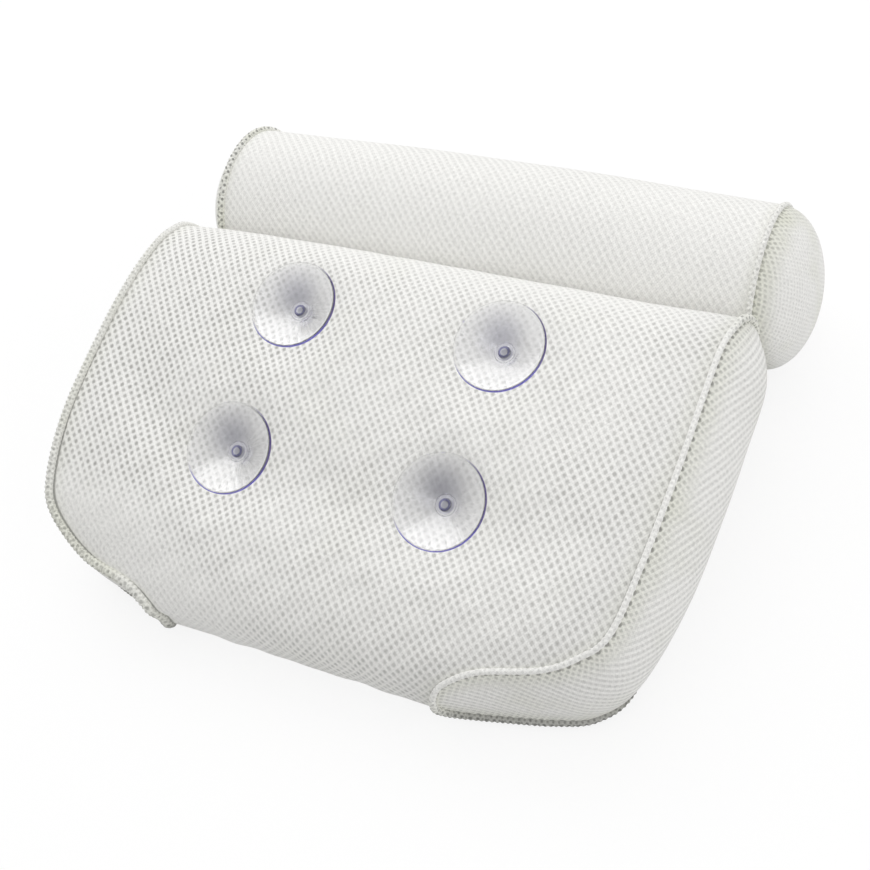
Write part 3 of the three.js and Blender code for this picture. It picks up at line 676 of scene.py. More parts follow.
def meshFinish(name, look):
    # the net of a panel; near a seam it may open wider, with rows of stretched holes along it
    made = Finish(name)
    place = made.place()
    values = {"Vector": place, "Scale": airMesh["driftScale"], "Detail": 1.0}
    drift = made.node("SeparateColor", {}, {0: made.node("TexNoise", {}, values).outputs[1]})
    u, v = (term + (Term(made, drift.outputs[k]) - 0.5) * airMesh["warpDrift"]
            for k, term in enumerate(made.mapInMillimetres("weave")))
    along, away = made.mapInMillimetres("edge")
    x, y = made.axes(place)[:2]
    toRight = made.step(x, *changes["toRight"])
    patches = made.step(made.noise(place, airMesh["patchScale"]), *airMesh["patchEdge"])
    patches = patches * airMesh["patchMore"] + airMesh["patchLow"]
    yarn, paintedShading, dark = None, 1, None
    if "fadeAcross" in look:      # the net's painted hole shade is fainter to the right, low down, at the left lower corner and near the top
        corner = made.fall(away, *changes["cornerReach"]) * made.fall(y, *changes["corner"])
        for fade, share in ((toRight, "fadeAcross"), (made.fall(y, *changes["low"]), "fadeLow"),
                            (corner * (1 - toRight), "fadeCorner"),
                            (made.step(y, *changes["top"]), "fadeTop")):
            patches = patches * (1 - fade * look[share])
        yarn = toRight * changes["yarnAdded"] + changes["yarnLeft"]
    if "dimple" in look:      # and stretched open round each neck, with painted shade round it
        near, depths = dimplesOf(made, look["dimple"], place)
        # painted shade in a band just inside the right seam
        hollow = made.fall(away, *changes["hollowReach"]) * toRight * changes["hollow"]
        paintedShading = (1 - depths) * (1 - hollow)
        patches = patches * (1 - near * look["dimple"]["opened"])
    net = netOf(made, u, v, look["scale"], look["ribs"], yarn)
    openness = (1 - net) * patches * look["contrast"]
    nearSeam = made.fall(away, 1, look["reach"])
    if "crease" in look:
        dark = creaseShadeOf(made, y, away, toRight) * look["crease"]
    if "nearScale" in look:
        wide = (1 - netOf(made, u, v, look["nearScale"])) * look["nearContrast"]
        openness = openness * (1 - nearSeam) + wide * nearSeam
    for row in look.get("rows", []):
        dark = greater(dark, holesInRow(made, along, away, row))
    clouds = made.step(made.noise(place, airMesh["cloudScale"]), *airMesh["cloudEdge"])
    tint = clouds * look["tint"] + nearSeam * look["seamTint"]
    fine = netOf(made, u, v, look["scale"] * airMesh["fineScale"])
    return fabricSurface(made, openness, fine, tint, dark, paintedShading)


def ridgeFinish(name, look):
    # a rolled seam: a finer net round the ridge and its rows of stitch holes, clearer where the seam is bold and
    # darker low down, in painted shade under the pillow; the edge map holds the boldness
    made = Finish(name)
    along, around = made.mapInMillimetres("weave")
    bold = made.mapInMillimetres("edge")[1]
    place = made.place()
    x, y, z = made.axes(place)
    # painted shade low down near the floor, with more of the net's hole shade showing
    low = made.fall(z, *look["pressed"])
    worn = made.fall(x, *look["wornX"]) * made.fall(y, *look["wornY"])      # the top of the pad's left seam, where its stitch holes are fainter
    bold = bold.math("MINIMUM", bold, 1)
    shown = bold * look["contrast"] + look["faint"] + low * look["pressedNet"]
    openness = (1 - netOf(made, along, around, look["scale"])) * shown
    clear = (bold * look["clearBold"] + look["clearLow"]) * (1 - worn * look["worn"])
    dark = None
    for row in look["rows"]:
        dark = greater(dark, holesInRow(made, along, around, row) * clear)
    clouds = made.step(made.noise(place, look["tintScale"]), *look["tintEdge"])
    tint = (clouds * look["tintMore"] + look["tintLow"]) * bold * look["tint"]
    fine = netOf(made, along, around, look["fineScale"])
    return fabricSurface(made, openness, fine, tint, dark, 1 - low * look["shaded"])


def shell(outer, inner, weave, edge, bakes):
    # outer skin, inner skin and the rims between them along the two side edges
    rows, cols = outer.shape[:2]
    sheets = [sheetOf(outer, weave, bakes[0], edge=edge), sheetOf(inner, weave, bakes[1], True)]
    for k, flip in ((0, True), (cols - 1, False)):
        rim = np.stack([outer[:, k], inner[:, k]], 1)
        rimWeave = np.stack([weave[:, k], weave[:, k] + pad["wall"] * mm], 1)
        low = (0.97 + 0.01 * (k > 0), 0.02)
        sheets.append(sheetOf(rim, rimWeave, bakeGrid(rows, 2, low, (low[0] + 0.006, 0.98)), flip))
    return sheets


def edgeMap(points, alongEdges):
    # how far each point lies from the nearer side edge, and the length along that edge
    across = lengthsAlong(points, 1)
    away = np.minimum(across, across[:, -1:] - across)
    share = np.linspace(0, 1, points.shape[1]) > 0.5
    return mapOf(np.where(share, alongEdges[1][:, None], alongEdges[0][:, None]), away)


# Where the pad's top edge stands fuller or slacker, as shares of the half width and of fullness
topEdge = dict(station=12.2, reach=1.3, fullness=1.9)
topEdgeShares = np.array([
    (-1, 2.5), (-0.83, 3.9), (-0.74, 2.8), (-0.57, 1.66), (-0.38, 1.3), (-0.19, 0.5), (0, 0.2),
    (0.07, 0.4), (0.19, 0.25), (0.31, -0.1), (0.43, 0.1), (0.56, -0.55), (0.68, -1.4), (0.78, -1.3),
    (0.88, 0.8), (0.93, 2), (1, 1.5)])
# Low ripples: for each wave its radians per millimetre across and along the pad, and its phase
ripple = dict(height=0.5, waves=((0.126, 0.204, 0.6), (-0.282, 0.156, 2.1), (0.198, -0.348, 4.4)),
              topFrom=185, topTo=225, topShare=0.8, seatFrom=9, seatTo=26)


def fullnessAt(t, points):
    # the slack of a filled cover: fuller and slacker stretches of its top edge, and low ripples
    share = np.interp(points[..., 0] / pad["halfWidth"], *topEdgeShares.T)
    fromTop = (t % stationCount - topEdge["station"]) / topEdge["reach"]
    nearTop = np.clip(1 - fromTop ** 2, 0, 1) ** 2
    swell = topEdge["fullness"] * share * nearTop
    for x, y, phase in ripple["waves"]:
        wave = np.sin(x * points[..., 0] + y * points[..., 1] + phase)
        swell = swell + ripple["height"] / len(ripple["waves"]) * wave
    nearRoll = smoothStep(points[..., 1], ripple["topFrom"], ripple["topTo"])
    swell = swell * (1 - ripple["topShare"] * nearRoll)
    for one in cups:      # none of it at a cup's seat
        away = fromCup(points, one)
        swell = swell * smoothStep(away, ripple["seatFrom"], ripple["seatTo"])
    return swell[..., None]


stripStation = 13.9      # where the folding strip meets the wrap, and where its cloth closes
mirror = np.array([-1, 1, 1])


def edgeAcross(edges, s):
    # each half of the wrap runs to its own seam
    return np.where(s[None, :, None] < 0, edges[0][:, None], edges[1][:, None])


def makePadCover(material):
    t = evenStations(middlePoint, pad["loopSteps"] + 1, stripStation, stripStation - stationCount)
    s = np.linspace(-1, 1, pad["acrossSteps"] + 1)
    edges = [wrapEdge(t, side) for side in (sides["left"], sides["right"])]
    outer = wrapPoint(t[:, None], s[None, :], edgeAcross(edges, s))
    normals = gridNormals(outer, True)
    if normals[len(t) // 4, len(s) // 2, 2] < 0:      # a quarter of the way round is the cup side
        normals = -normals
    free = 1 - np.abs(s[None, :, None]) ** pad["slackPower"]
    outer = outer + normals * fullnessAt(t[:, None], outer) * free
    normals[:, -1], normals[:, 0] = seamOut(t, sides["right"]), seamOut(t, sides["left"]) * mirror
    inner = outer - normals * pad["wall"]
    flat = wrapPoint(t[:, None], s[None, :], edgeAcross(edges, s), False)
    flat[..., 0] = 0
    lengths = lengthsAlong(flat, 0)
    cupRow = np.argmin(np.abs(t - topStation * pad["weaveFrom"]))
    weave = mapOf(outer[..., 0], lengths - lengths[cupRow])
    edge = edgeMap(outer, [lengthsAlong(edge, 0) for edge in edges])
    bakes = [bakeOf(outer, part) for part in ("wide", "hidden")]
    return buildPiece("padWrap", shell(laid(outer), laid(inner), weave, edge, bakes), material)


sideTurn = 16      # degrees that the side panels' cloth is cut off the line of their seams


def makeSidePanel(name, material):
    side, hand = sides[name], sides[name]["hand"]
    rows, cols = pad["sideSteps"] + 1, pad["chordSteps"] + 1
    j = evenStations(sideSpine(side), rows, 0, topStation)
    w = np.linspace(-1, 1, cols)
    outer = sidePoint(j[:, None] + 0 * w, w[None, :] + 0 * j[:, None], side, sideEdge)
    normals = outwards(gridNormals(outer), 0)
    for k, stations in ((0, stationCount - j), (-1, j)):
        normals[:, k] = seamOut(stations, side)
    normals[0], normals[-1] = normals[0, -1], normals[-1, -1]
    inner = outer - normals * pad["wall"]
    across = lengthsAlong(outer, 1)
    lengths = lengthsAlong(outer, 0)
    middle = slice(cols // 2, cols // 2 + 1)
    u, v = lengths[:, middle], across - across[:, middle]
    cosine, sine = math.cos(math.radians(sideTurn)), math.sin(math.radians(sideTurn))
    weave = mapOf(u * cosine + v * sine, v * cosine - u * sine)
    edge = edgeMap(outer, (lengths[:, 0], lengths[:, -1]))
    bakes = [bakeOf(outer, part) for part in ("outer", "inner")]
    flipX = np.array([hand, 1, 1])
    return buildPiece("padSide" + name.capitalize(),
                      shell(laid(outer * flipX), laid(inner * flipX), weave, edge, bakes), material)


def ridgeTube(name, path, out, hand, bold, material):
    # a rolled seam: the path plus the radius turned from its outward side towards the end
    # panel, drawn in between its stitches like a row of beads
    run = unit(np.roll(path[:-1], -1, 0) - np.roll(path[:-1], 1, 0))
    run = np.concatenate([run, run[:1]])
    out = unit(out - run * (out * run).sum(-1, keepdims=True))
    over = np.cross(run, out) * hand
    length = lengthsAlong(path, 0)
    angles = fullTurn(seam["ringSteps"]) - math.pi
    pitch = length[-1] / round(length[-1] / seam["beadPitch"])
    drawn = seam["beadEven"] + (1 - seam["beadEven"]) * np.cos(angles)
    bead = 1 + seam["bead"] * np.cos(2 * math.pi * length / pitch)[:, None] * drawn
    radii = (seam["radius"] + seam["boldRadius"] * bold)[:, None] * bead
    ring = out[:, None] * np.cos(angles)[:, None] + over[:, None] * np.sin(angles)[:, None]
    points = aboveFloor(path[:, None] + ring * radii[..., None])
    weave = mapOf(length[:, None], angles[None, :] * seam["ringRadius"])
    edge = mapOf(length[:, None], bold[:, None] + 0 * angles)
    sheet = sheetOf(points, weave, bakeOf(points, "whole"), edge=edge)
    return buildPiece(name, [sheet], material, 80)


def makePadSeam(name, material):
    side, hand = sides[name], sides[name]["hand"]
    t = evenStations(lambda k: seamPoint(k, side), seam["padSteps"] + 1, 0, stationCount)
    out = seamOut(t, side)
    path = seamPoint(t, side) + out * seam["proud"]
    flipX = np.array([hand, 1, 1])
    path, out = placed(path * flipX), (out * flipX) @ tiltMatrix.T
    bold = np.interp(t, *np.array(seam["boldness"][name]).T)
    return ridgeTube("padSeam" + name.capitalize(), path, out, hand, bold, material)


filling = dict(depth=3.5, ease=1, pocketRadius=13.5, pocketFade=19, pocketDepth=9.5, endEase=0.45,
               rollEase=0.1, sideSteps=90, acrossSteps=80, chordSteps=24, rollRows=60,
               turnSteps=120)


def makePadFilling(material):
    # one closed body inside the cover, offset from its panels, with a pocket at each cup
    j = evenStations(sideSpine(sides["right"]), filling["sideSteps"] + 1, 0, topStation)
    t = np.concatenate([j, stationCount - j[-2::-1]])
    s, w = (np.linspace(-1, 1, filling[key] + 1) for key in ("acrossSteps", "chordSteps"))
    inset = filling["depth"] + filling["ease"]
    both = sides["left"], sides["right"]
    rings = [seamPoint(t, side) - seamOut(t, side) * inset for side in both]
    edges = [wrapEdge(t, side) for side in both]
    body = wrapPoint(t[:, None], s[None, :], edgeAcross(edges, s))
    normals = gridNormals(body, True)
    if normals[len(j) // 2, len(s) // 2, 2] < 0:
        normals = -normals
    for one in cups:
        away = fromCup(body, one)
        pocket = 1 - smoothStep(away, filling["pocketRadius"], filling["pocketFade"])
        body[..., 2] -= filling["pocketDepth"] * pocket * (t[:, None] <= topStation)
    body = body - normals * filling["depth"]
    body[:, 0], body[:, -1] = rings[0] * mirror, rings[1]
    ends = []
    for side, ring in zip(both, rings):
        end = sidePoint(j[:, None] + 0 * w, w[None, :] + 0 * j[:, None], side, sideEdge)
        end = end - outwards(gridNormals(end), 0) * filling["depth"]
        end[:, -1], end[:, 0] = ring[:len(j)], ring[::-1][:len(j)]
        end[0], end[-1] = ring[0], ring[len(j) - 1]
        ends.append(end)
    sheets = []
    for points, low in ((body, 0.01), (ends[1], 0.35), (ends[0] * mirror, 0.68)):
        rows, cols = points.shape[:2]
        sheets.append(sheetOf(laid(points), points[..., :2] * mm,
                              bakeGrid(rows, cols, (low, 0.01), (low + 0.3, 0.99)), low == 0.35))
    return buildPiece("padFibre", sheets, material)


roll = dict(radius=48, endRadius=45.2, seamHalf=167, endBulge=27, endSag=6, endInward=0.28,
            endRise=0.96, endDome=dict(left=0.85, right=0.48), bold=dict(left=1.0, right=0.25),
            gap=2.4, flatDepth=0.5, wave=0.35, waveAlong=27, waveTurn=60, alongSteps=160,
            turnSteps=180)
noseCentre = placed(np.array([0, pad["length"] - pad["noseBack"], pad["noseHeight"]]))
rollHeight = roll["radius"] - roll["flatDepth"]
rollReach = pad["noseRadius"] + roll["gap"] + roll["radius"]
rollAway = math.sqrt(rollReach ** 2 - (noseCentre[2] - rollHeight) ** 2)
rollCentre = np.array([0, noseCentre[1] + rollAway, rollHeight])
foldLine = jointPlace("roll_fold")


def onRoll(radius, x, angles):
    # turned about the roll's axis, with angle 0 straight down; past the seams the ends sag
    radius, x = np.asarray(radius, float)[:, None], np.asarray(x, float)[:, None]
    sag = roll["endSag"] * np.maximum(0, np.abs(x) - roll["seamHalf"]) / roll["endBulge"]
    y = rollCentre[1] + radius * np.sin(angles)
    z = rollCentre[2] - radius * np.cos(angles) - sag
    return aboveFloor(np.stack([np.broadcast_to(x, y.shape), y, z], -1))


def rollRadiusAt(x):
    share = np.minimum(1, np.abs(x) / roll["seamHalf"])
    return roll["radius"] + (roll["endRadius"] - roll["radius"]) * share ** 2


def makeRollCover(material):
    half = roll["seamHalf"] - seam["inset"]
    x = np.linspace(-half, half, roll["alongSteps"] + 1)
    angles = fullTurn(roll["turnSteps"])
    wave = np.cos(2 * angles + x[:, None] / roll["waveTurn"])
    wave = wave * np.sin(x / roll["waveAlong"])[:, None]
    bend = roll["wave"] * wave * (1 - (x / half)[:, None] ** 4)
    outer = onRoll(rollRadiusAt(x), x, angles)
    radial = np.stack([0 * angles, np.sin(angles), -np.cos(angles)], -1)
    outer = aboveFloor(outer + radial[None] * bend[..., None])
    inner = onRoll(rollRadiusAt(x) - pad["wall"], x, angles)
    weave = mapOf(outer[..., 0], rollRadiusAt(x)[:, None] * angles)
    edge = mapOf(angles[None, :] * roll["endRadius"], half - np.abs(x)[:, None])
    sheets = [sheetOf(outer, weave, bakeOf(outer, "outer"), edge=edge),
              sheetOf(inner, weave, bakeOf(inner, "hidden"), True)]
    for i, low in ((0, 0.6), (-1, 0.65)):
        places = (0.65, low), (0.95, low + 0.01)
        sheets.append(rimSheet(outer[i], inner[i], weave[i], *places, i < 0))
    return buildPiece("rollWrap", sheets, material)


def endProfile(depth, side, count=49):
    # a dome over the seam, moved inwards square to its own run: radius and place along the roll
    edge = roll["endRadius"] - seam["inset"] * roll["endInward"]
    rise = seam["inset"] * roll["endRise"]
    turn = np.linspace(0, math.pi / 2, count)
    radius = edge * np.sin(turn)
    swell = rise + (roll["endBulge"] - rise) * np.cos(turn) ** (2 * roll["endDome"][side])
    run = unit(np.stack([np.gradient(radius), np.gradient(swell)], -1))
    inRadius = np.maximum(0, radius + run[:, 1] * depth) * (turn > 0)
    return inRadius, roll["seamHalf"] + swell - run[:, 0] * depth


def makeRollEnd(side, material):
    hand = sides[side]["hand"]
    angles = fullTurn(roll["turnSteps"])
    sheets, edges = [], []
    for depth, low in ((0, 0.01), (pad["wall"], 0.51)):
        radius, x = endProfile(depth, side)
        reach = lengthsAlong(np.stack([radius, x], -1), 0)
        flat = np.stack([reach[:, None] * np.sin(angles), -reach[:, None] * np.cos(angles)], -1)
        edge = mapOf(angles[None, :] * roll["endRadius"], (reach[-1] - reach)[:, None])
        bake = low + 0.24 + flat / reach[-1] * 0.235
        sheets.append(sheetOf(onRoll(radius, hand * x, angles), flat * mm, bake, depth > 0, edge))
        edges.append(onRoll(radius[-1:], hand * x[-1:], angles)[0])
    sheets.append(rimSheet(*edges, flat[-1] * mm, (0.1, 0.9), (0.9, 0.91)))
    return buildPiece("rollEnd" + side.capitalize(), sheets, material)


def makeRollSeam(side, material):
    hand = sides[side]["hand"]
    angles = fullTurn(seam["rollSteps"])
    path = onRoll([roll["endRadius"]], [hand * roll["seamHalf"]], angles)[0]
    out = path - np.array([hand * roll["seamHalf"], rollCentre[1], rollCentre[2]])
    bold = np.full(len(angles), roll["bold"][side])
    return ridgeTube("rollSeam" + side.capitalize(), path, out, -hand, bold, material)


def makeRollFilling(material):
    # the roll's own profile and its domed ends, offset inwards by the same depth
    ends = (endProfile(pad["wall"] + filling["endEase"], side, 25) for side in sides)
    (radius, x), (lowRadius, lowX) = ends
    half = roll["seamHalf"] - filling["depth"]
    spanX = np.linspace(half, -half, filling["rollRows"])
    spanRadius = rollRadiusAt(spanX) - filling["depth"] - filling["rollEase"]
    profileX = np.concatenate([x, spanX, -lowX[::-1]])
    profileRadius = np.concatenate([radius, spanRadius, lowRadius[::-1]])
    angles = fullTurn(filling["turnSteps"])
    points = onRoll(profileRadius, profileX, angles)
    weave = mapOf(profileX[:, None], profileRadius[:, None] * angles)
    return buildPiece("rollFibre", [sheetOf(points, weave, bakeOf(points, "whole"))], material)


# The strip that the roll folds on: from inside the pad's top end to a tab sewn on the roll
strip = dict(length=250, root=26.6, thickness=1, tab=6, lift=0.75, offRoll=0.3, bendFrom=3,
             bendTo=0.6)


def makeFoldStrip(material):
    centre = noseCentre[1:]
    along = unit(foldLine[1:] - centre)
    fromRoll = unit(foldLine[1:] - rollCentre[1:])
    down = np.array([-fromRoll[1], fromRoll[0]])
    down = down if down @ along > 0 else -down
    reach = np.linalg.norm(foldLine[1:] - centre)
    root = centre + along * np.linspace(strip["root"], reach - 1, 12)[:, None]
    tabShare = np.linspace(0, 1, 9)[:, None]
    tab = foldLine[1:] + fromRoll * strip["lift"] + down * strip["tab"] * tabShare
    onTo = roll["radius"] + strip["offRoll"] + strip["lift"]
    tab = rollCentre[1:] + unit(tab - rollCentre[1:]) * onTo
    line = np.concatenate([root, tab])
    run = unit(np.gradient(line, axis=0))
    side = np.stack([-run[:, 1], run[:, 0]], -1) * strip["thickness"] / 2
    x = np.linspace(-strip["length"] / 2, strip["length"] / 2, 126)
    lengths = lengthsAlong(line, 0)
    sheets, faces = [], [line + side, line - side]
    weave = mapOf(x[:, None], lengths[None, :])

    def spread(points2d, xs):
        zero = np.zeros((len(xs), len(points2d)))
        return np.stack([zero + xs[:, None], zero + points2d[:, 0], zero + points2d[:, 1]], -1)
    for face, low in zip(faces, (0.01, 0.35)):
        bake = bakeGrid(len(x), len(line), (low, 0.01), (low + 0.3, 0.99))
        sheets.append(sheetOf(spread(face, x), weave, bake, low > 0.3))
    for k in (0, -1):
        ends = np.stack([faces[0][k], faces[1][k]])
        bake = bakeGrid(len(x), 2, (0.7 - 0.02 * k, 0.01), (0.71 - 0.02 * k, 0.99))
        sheets.append(sheetOf(spread(ends, x), weave[:, :2], bake))
        rim = np.stack([spread(face, x[[k]])[0] for face in faces])
        bake = bakeGrid(2, len(line), (0.8, 0.1 - 0.1 * k), (0.95, 0.12 - 0.1 * k))
        sheets.append(sheetOf(rim, weave[:2], bake))
    piece = buildPiece("foldStrip", sheets, material)
    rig.sheet(piece, flat=(strip["length"] * mm, float(lengths[-1]) * mm), held="stretched",
             rests_on=["padWrap", "rollWrap"])
    start, end = (centre + along * (reach + more) for more in (-strip["bendFrom"], strip["bendTo"]))
    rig.blend(piece, "pad", "roll", start=(0, *(start * mm)), end=(0, *(end * mm)))
    return piece


# Suction cup: shoulder, neck and head below the panel, thin bowl above
cupForm = dict(rimRadius=25, rimWidth=1.4, height=14.5, bowlDepth=10, wall=1.5, shoulderRadius=6.5,
               shoulderHeight=2, shoulderGap=0.6, neckRadius=3, headRadius=5.5, headHeight=2.4,
               headTop=-7.35, holeRadius=3.6, cutReach=9,
               hub=[((5.1, 0.7), (4.9, 0.6), 0, 2), ((4.7, 0.6), (3.4, 0.6), 0, 4),
                    ((3.2, 0.7), (3.0, 0.95), 0, 3), ((2.8, 1), (2.2, 1), 0, 3),
                    ((2.0, 0.9), (0, 0.7), -0.05, 6)])


def arcBetween(start, end, bend, count=14):
    # a smooth bow from start to end, pulled sideways by a share of its length
    share = np.linspace(0, 1, count)[:, None]
    start, end = np.array(start, float), np.array(end, float)
    side = np.array([end[1] - start[1], start[0] - end[0]])
    return start + (end - start) * share + side * bend * 4 * share * (1 - share)


def lathe(name, profile, place, material, count=96, sharp=40):
    # radius and height turned about the place's own axis
    angles = fullTurn(count)
    radius, height = profile[:, 0:1], profile[:, 1:2]
    local = np.stack([radius * np.cos(angles), radius * np.sin(angles), height + 0 * angles], -1)
    rotation, origin = place
    sheet = sheetOf(local @ rotation.T + origin, local[..., :2] * mm, bakeOf(local, "whole"))
    return buildPiece(name, [sheet], material, sharp)


def cupPlace(one):
    turn = tiltMatrix @ np.array(Matrix.Rotation(one["droop"], 3, "X"))
    return turn, placed(np.array([one["x"], one["y"], cup["seatHeight"]]))


def makeSuctionCup(one, material):
    f = cupForm
    top = f["shoulderGap"] + f["shoulderHeight"]
    floor = f["height"] - f["bowlDepth"]
    inside = f["rimRadius"] - f["rimWidth"]
    profile = np.concatenate([
        [(0, f["headTop"] - f["headHeight"])],
        arcBetween((f["headRadius"] * 0.55, f["headTop"] - f["headHeight"]),
                   (f["headRadius"], f["headTop"] - f["headHeight"] * 0.35), 0.2, 8),
        [(f["headRadius"], f["headTop"]), (f["neckRadius"], f["headTop"]),
         (f["neckRadius"], f["shoulderGap"]), (f["shoulderRadius"], f["shoulderGap"])],
        arcBetween((f["shoulderRadius"], top - 0.6),
                   (f["shoulderRadius"] + 0.6, top + 0.2), -0.2, 6),
        arcBetween((f["shoulderRadius"] + 1, top + 0.4),
                   (f["rimRadius"] - 0.3, f["height"] - f["wall"]), -0.03, 16),
        arcBetween((f["rimRadius"], f["height"] - f["wall"] + 0.4),
                   (f["rimRadius"], f["height"] - 0.3), 0, 3),
        arcBetween((f["rimRadius"] - 0.3, f["height"]), (inside, f["height"]), 0, 3),
        arcBetween((inside - 0.3, f["height"] - 0.2), (5.4, floor + 1.0), 0.03, 24),
        *[arcBetween((a, floor + b), (c, floor + d), bend, count)
          for (a, b), (c, d), bend, count in f["hub"]]])
    piece = lathe("suctionCup" + one["name"], profile, cupPlace(one), material)
    piece.visible_shadow = piece.visible_diffuse = False      # light passes a clear cup
    declare(piece, "cup_" + one["name"], "suction_cup_" + one["name"], "clear_vinyl")


patch = dict(radius=11.5, top=-3.3, thickness=1.2, holeRadius=3.6)


def makeCupPatch(one, material):
    # a disc of tricot with a hole for the neck, its faces a little cushioned
    top, low = patch["top"], patch["top"] - patch["thickness"]
    profile = np.concatenate([
        arcBetween((patch["holeRadius"], top - 0.2), (patch["radius"] - 0.4, top), 0.005, 10),
        arcBetween((patch["radius"], top - 0.4), (patch["radius"], low + 0.4), -0.1, 3),
        arcBetween((patch["radius"] - 0.4, low), (patch["holeRadius"], low + 0.2), 0.005, 10),
        [(patch["holeRadius"], top - 0.2)]])
    piece = lathe("cupPatch" + one["name"], profile, cupPlace(one), material, 64)
    declare(piece, "pad", "cup_patch_" + one["name"], "seam")
    across = 2 * patch["radius"] * mm
    area = math.pi * (patch["radius"] ** 2 - patch["holeRadius"] ** 2) * mm * mm
    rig.sheet(piece, flat=(across, across), area=area, held="stretched", rests_on=["padWrap"])


def cutNeckHoles(piece, material):
    # one round hole through the wrap for the neck of each cup
    for one in cups:
        radius, reach = cupForm["holeRadius"], cupForm["cutReach"]
        profile = np.array([(0, -reach), (radius, -reach), (radius, reach), (0, reach)], float)
        cutter = lathe("cutter", profile, cupPlace(one), material, 32)
        hole = piece.modifiers.new("hole", "BOOLEAN")
        hole.operation, hole.solver, hole.object = "DIFFERENCE", "MANIFOLD", cutter
        depsgraph = bpy.context.evaluated_depsgraph_get()
        cut = bpy.data.meshes.new_from_object(piece.evaluated_get(depsgraph))
        piece.modifiers.clear()
        piece.data = cut
        bpy.data.objects.remove(cutter)
    print("neck holes", len(piece.data.polygons), "faces")


# Radii in millimetres from the cup's axis, each with the width of its soft edge
vinyl = dict(tone=colour(0.98, 0.98, 1), rootTone=colour(0.72, 0.72, 0.8),
             rimTone=colour(0.17, 0.15, 0.68), rimDark=colour(0.08, 0.05, 0.24),
             ringTone=colour(0.18, 0.18, 0.36), hubTone=colour(0.66, 0.66, 0.73),
             roughness=0.13, coatRoughness=0.1, cloudRoughness=0.35, ior=1.5, rays=4.5,
             rayDepth=0.0007, rayStrength=0.4, rayDrift=0.02, rayFrom=(5, 8), gate=(1.7, 1.9),
             ringIn=(1.9, 2.1), ringOut=(3.0, 3.3), collarIn=(3.2, 3.5), collarOut=(4.6, 4.9),
             clearRim=(23.4, 24.2), rim=(24.4, 24.6), rimGone=0.8, endOn=(-0.5, 0.2),
             darkEnd=(0.45, 0.95), shade=(1, 18), shadeX=-3, shadeY=6.5,
             cloud=dict(gate=0.45, collar=0.35, rim=0.75, ring=0.45))


def vinylFinish():
    # clear, with a violet rim painted only where it is seen end on, a painted grey shade above the hub, a dark ring
    # round a cloudy gate mark, and fine radial drag lines from the mould: by place round the cup's axis, in
    # millimetres
    made = Finish("clearVinyl")
    x, y = made.mapInMillimetres("weave")
    away = (x * x + y * y) ** 0.5
    outside = away.math("MAXIMUM", away, 1)
    # the rim's own violet is painted only where the rim is seen end on, down the pad and to its right, with a painted
    # shade darkest on the right; the rest of the rim fades out
    endOn = made.step((x * 0.8 - y * 0.6) / outside, *vinyl["endOn"])
    darkEnd = made.step((x * 0.89 + y * 0.4) / outside, *vinyl["darkEnd"])
    rimTone = made.mixColour(darkEnd, vinyl["rimTone"], vinyl["rimDark"])
    faded = made.step(away, *vinyl["clearRim"]) * (1 - endOn) * vinyl["rimGone"]
    shown = dict(gate=made.fall(away, *vinyl["gate"]), rim=made.step(away, *vinyl["rim"]) * endOn)
    for key in ("collar", "ring"):
        shown[key] = made.step(away, *vinyl[key + "In"]) * made.fall(away, *vinyl[key + "Out"])
    # a painted grey shade round a point up and to the left of the hub
    fromShade = ((x - vinyl["shadeX"]) ** 2 + (y - vinyl["shadeY"]) ** 2) ** 0.5
    tone = made.mixColour(made.step(fromShade, *vinyl["shade"]), vinyl["rootTone"], vinyl["tone"])
    tone = made.mixColour(shown["rim"], tone, rimTone)
    tone = made.mixColour(shown["ring"], tone, vinyl["ringTone"])
    turn = x.math("ARCTAN2", y, x)
    rays = made.node("CombineXYZ", {}, {0: turn * vinyl["rays"], 1: away * vinyl["rayDrift"]})
    drag = made.noise(rays.outputs[0], 2.0) * made.step(away, *vinyl["rayFrom"])
    clear = made.principled({
        "Base Color": tone, "Roughness": vinyl["roughness"], "IOR": vinyl["ior"],
        "Transmission Weight": 1.0, "Coat Weight": 1.0, "Coat Roughness": vinyl["coatRoughness"],
        "Normal": made.bump(vinyl["rayStrength"], vinyl["rayDepth"], drag), "Alpha": 1 - faded})
    cloudTone = made.mixColour(shown["ring"], vinyl["hubTone"], vinyl["ringTone"])
    cloudTone = made.mixColour(shown["rim"], cloudTone, rimTone)
    cloudy = made.principled({"Base Color": cloudTone, "Roughness": vinyl["cloudRoughness"]})
    cloud = 0
    for key, share in vinyl["cloud"].items():
        cloud = shown[key] * share + cloud
    return made.show(made.mixShader(cloud, clear, cloudy))


plain = dict(speckle=0.3, darker=0.82, bump=0.5)


def plainFinish(name, tone, roughness, grain, depth):
    made = Finish(name)
    speckle = made.noise(made.place(), grain, 3.0)
    darker = colour(*(c * plain["darker"] for c in tone[:3]))
    return made.show(made.principled({
        "Base Color": made.mixColour(speckle * plain["speckle"], tone, darker),
        "Roughness": roughness, "Normal": made.bump(plain["bump"], depth, speckle)}))


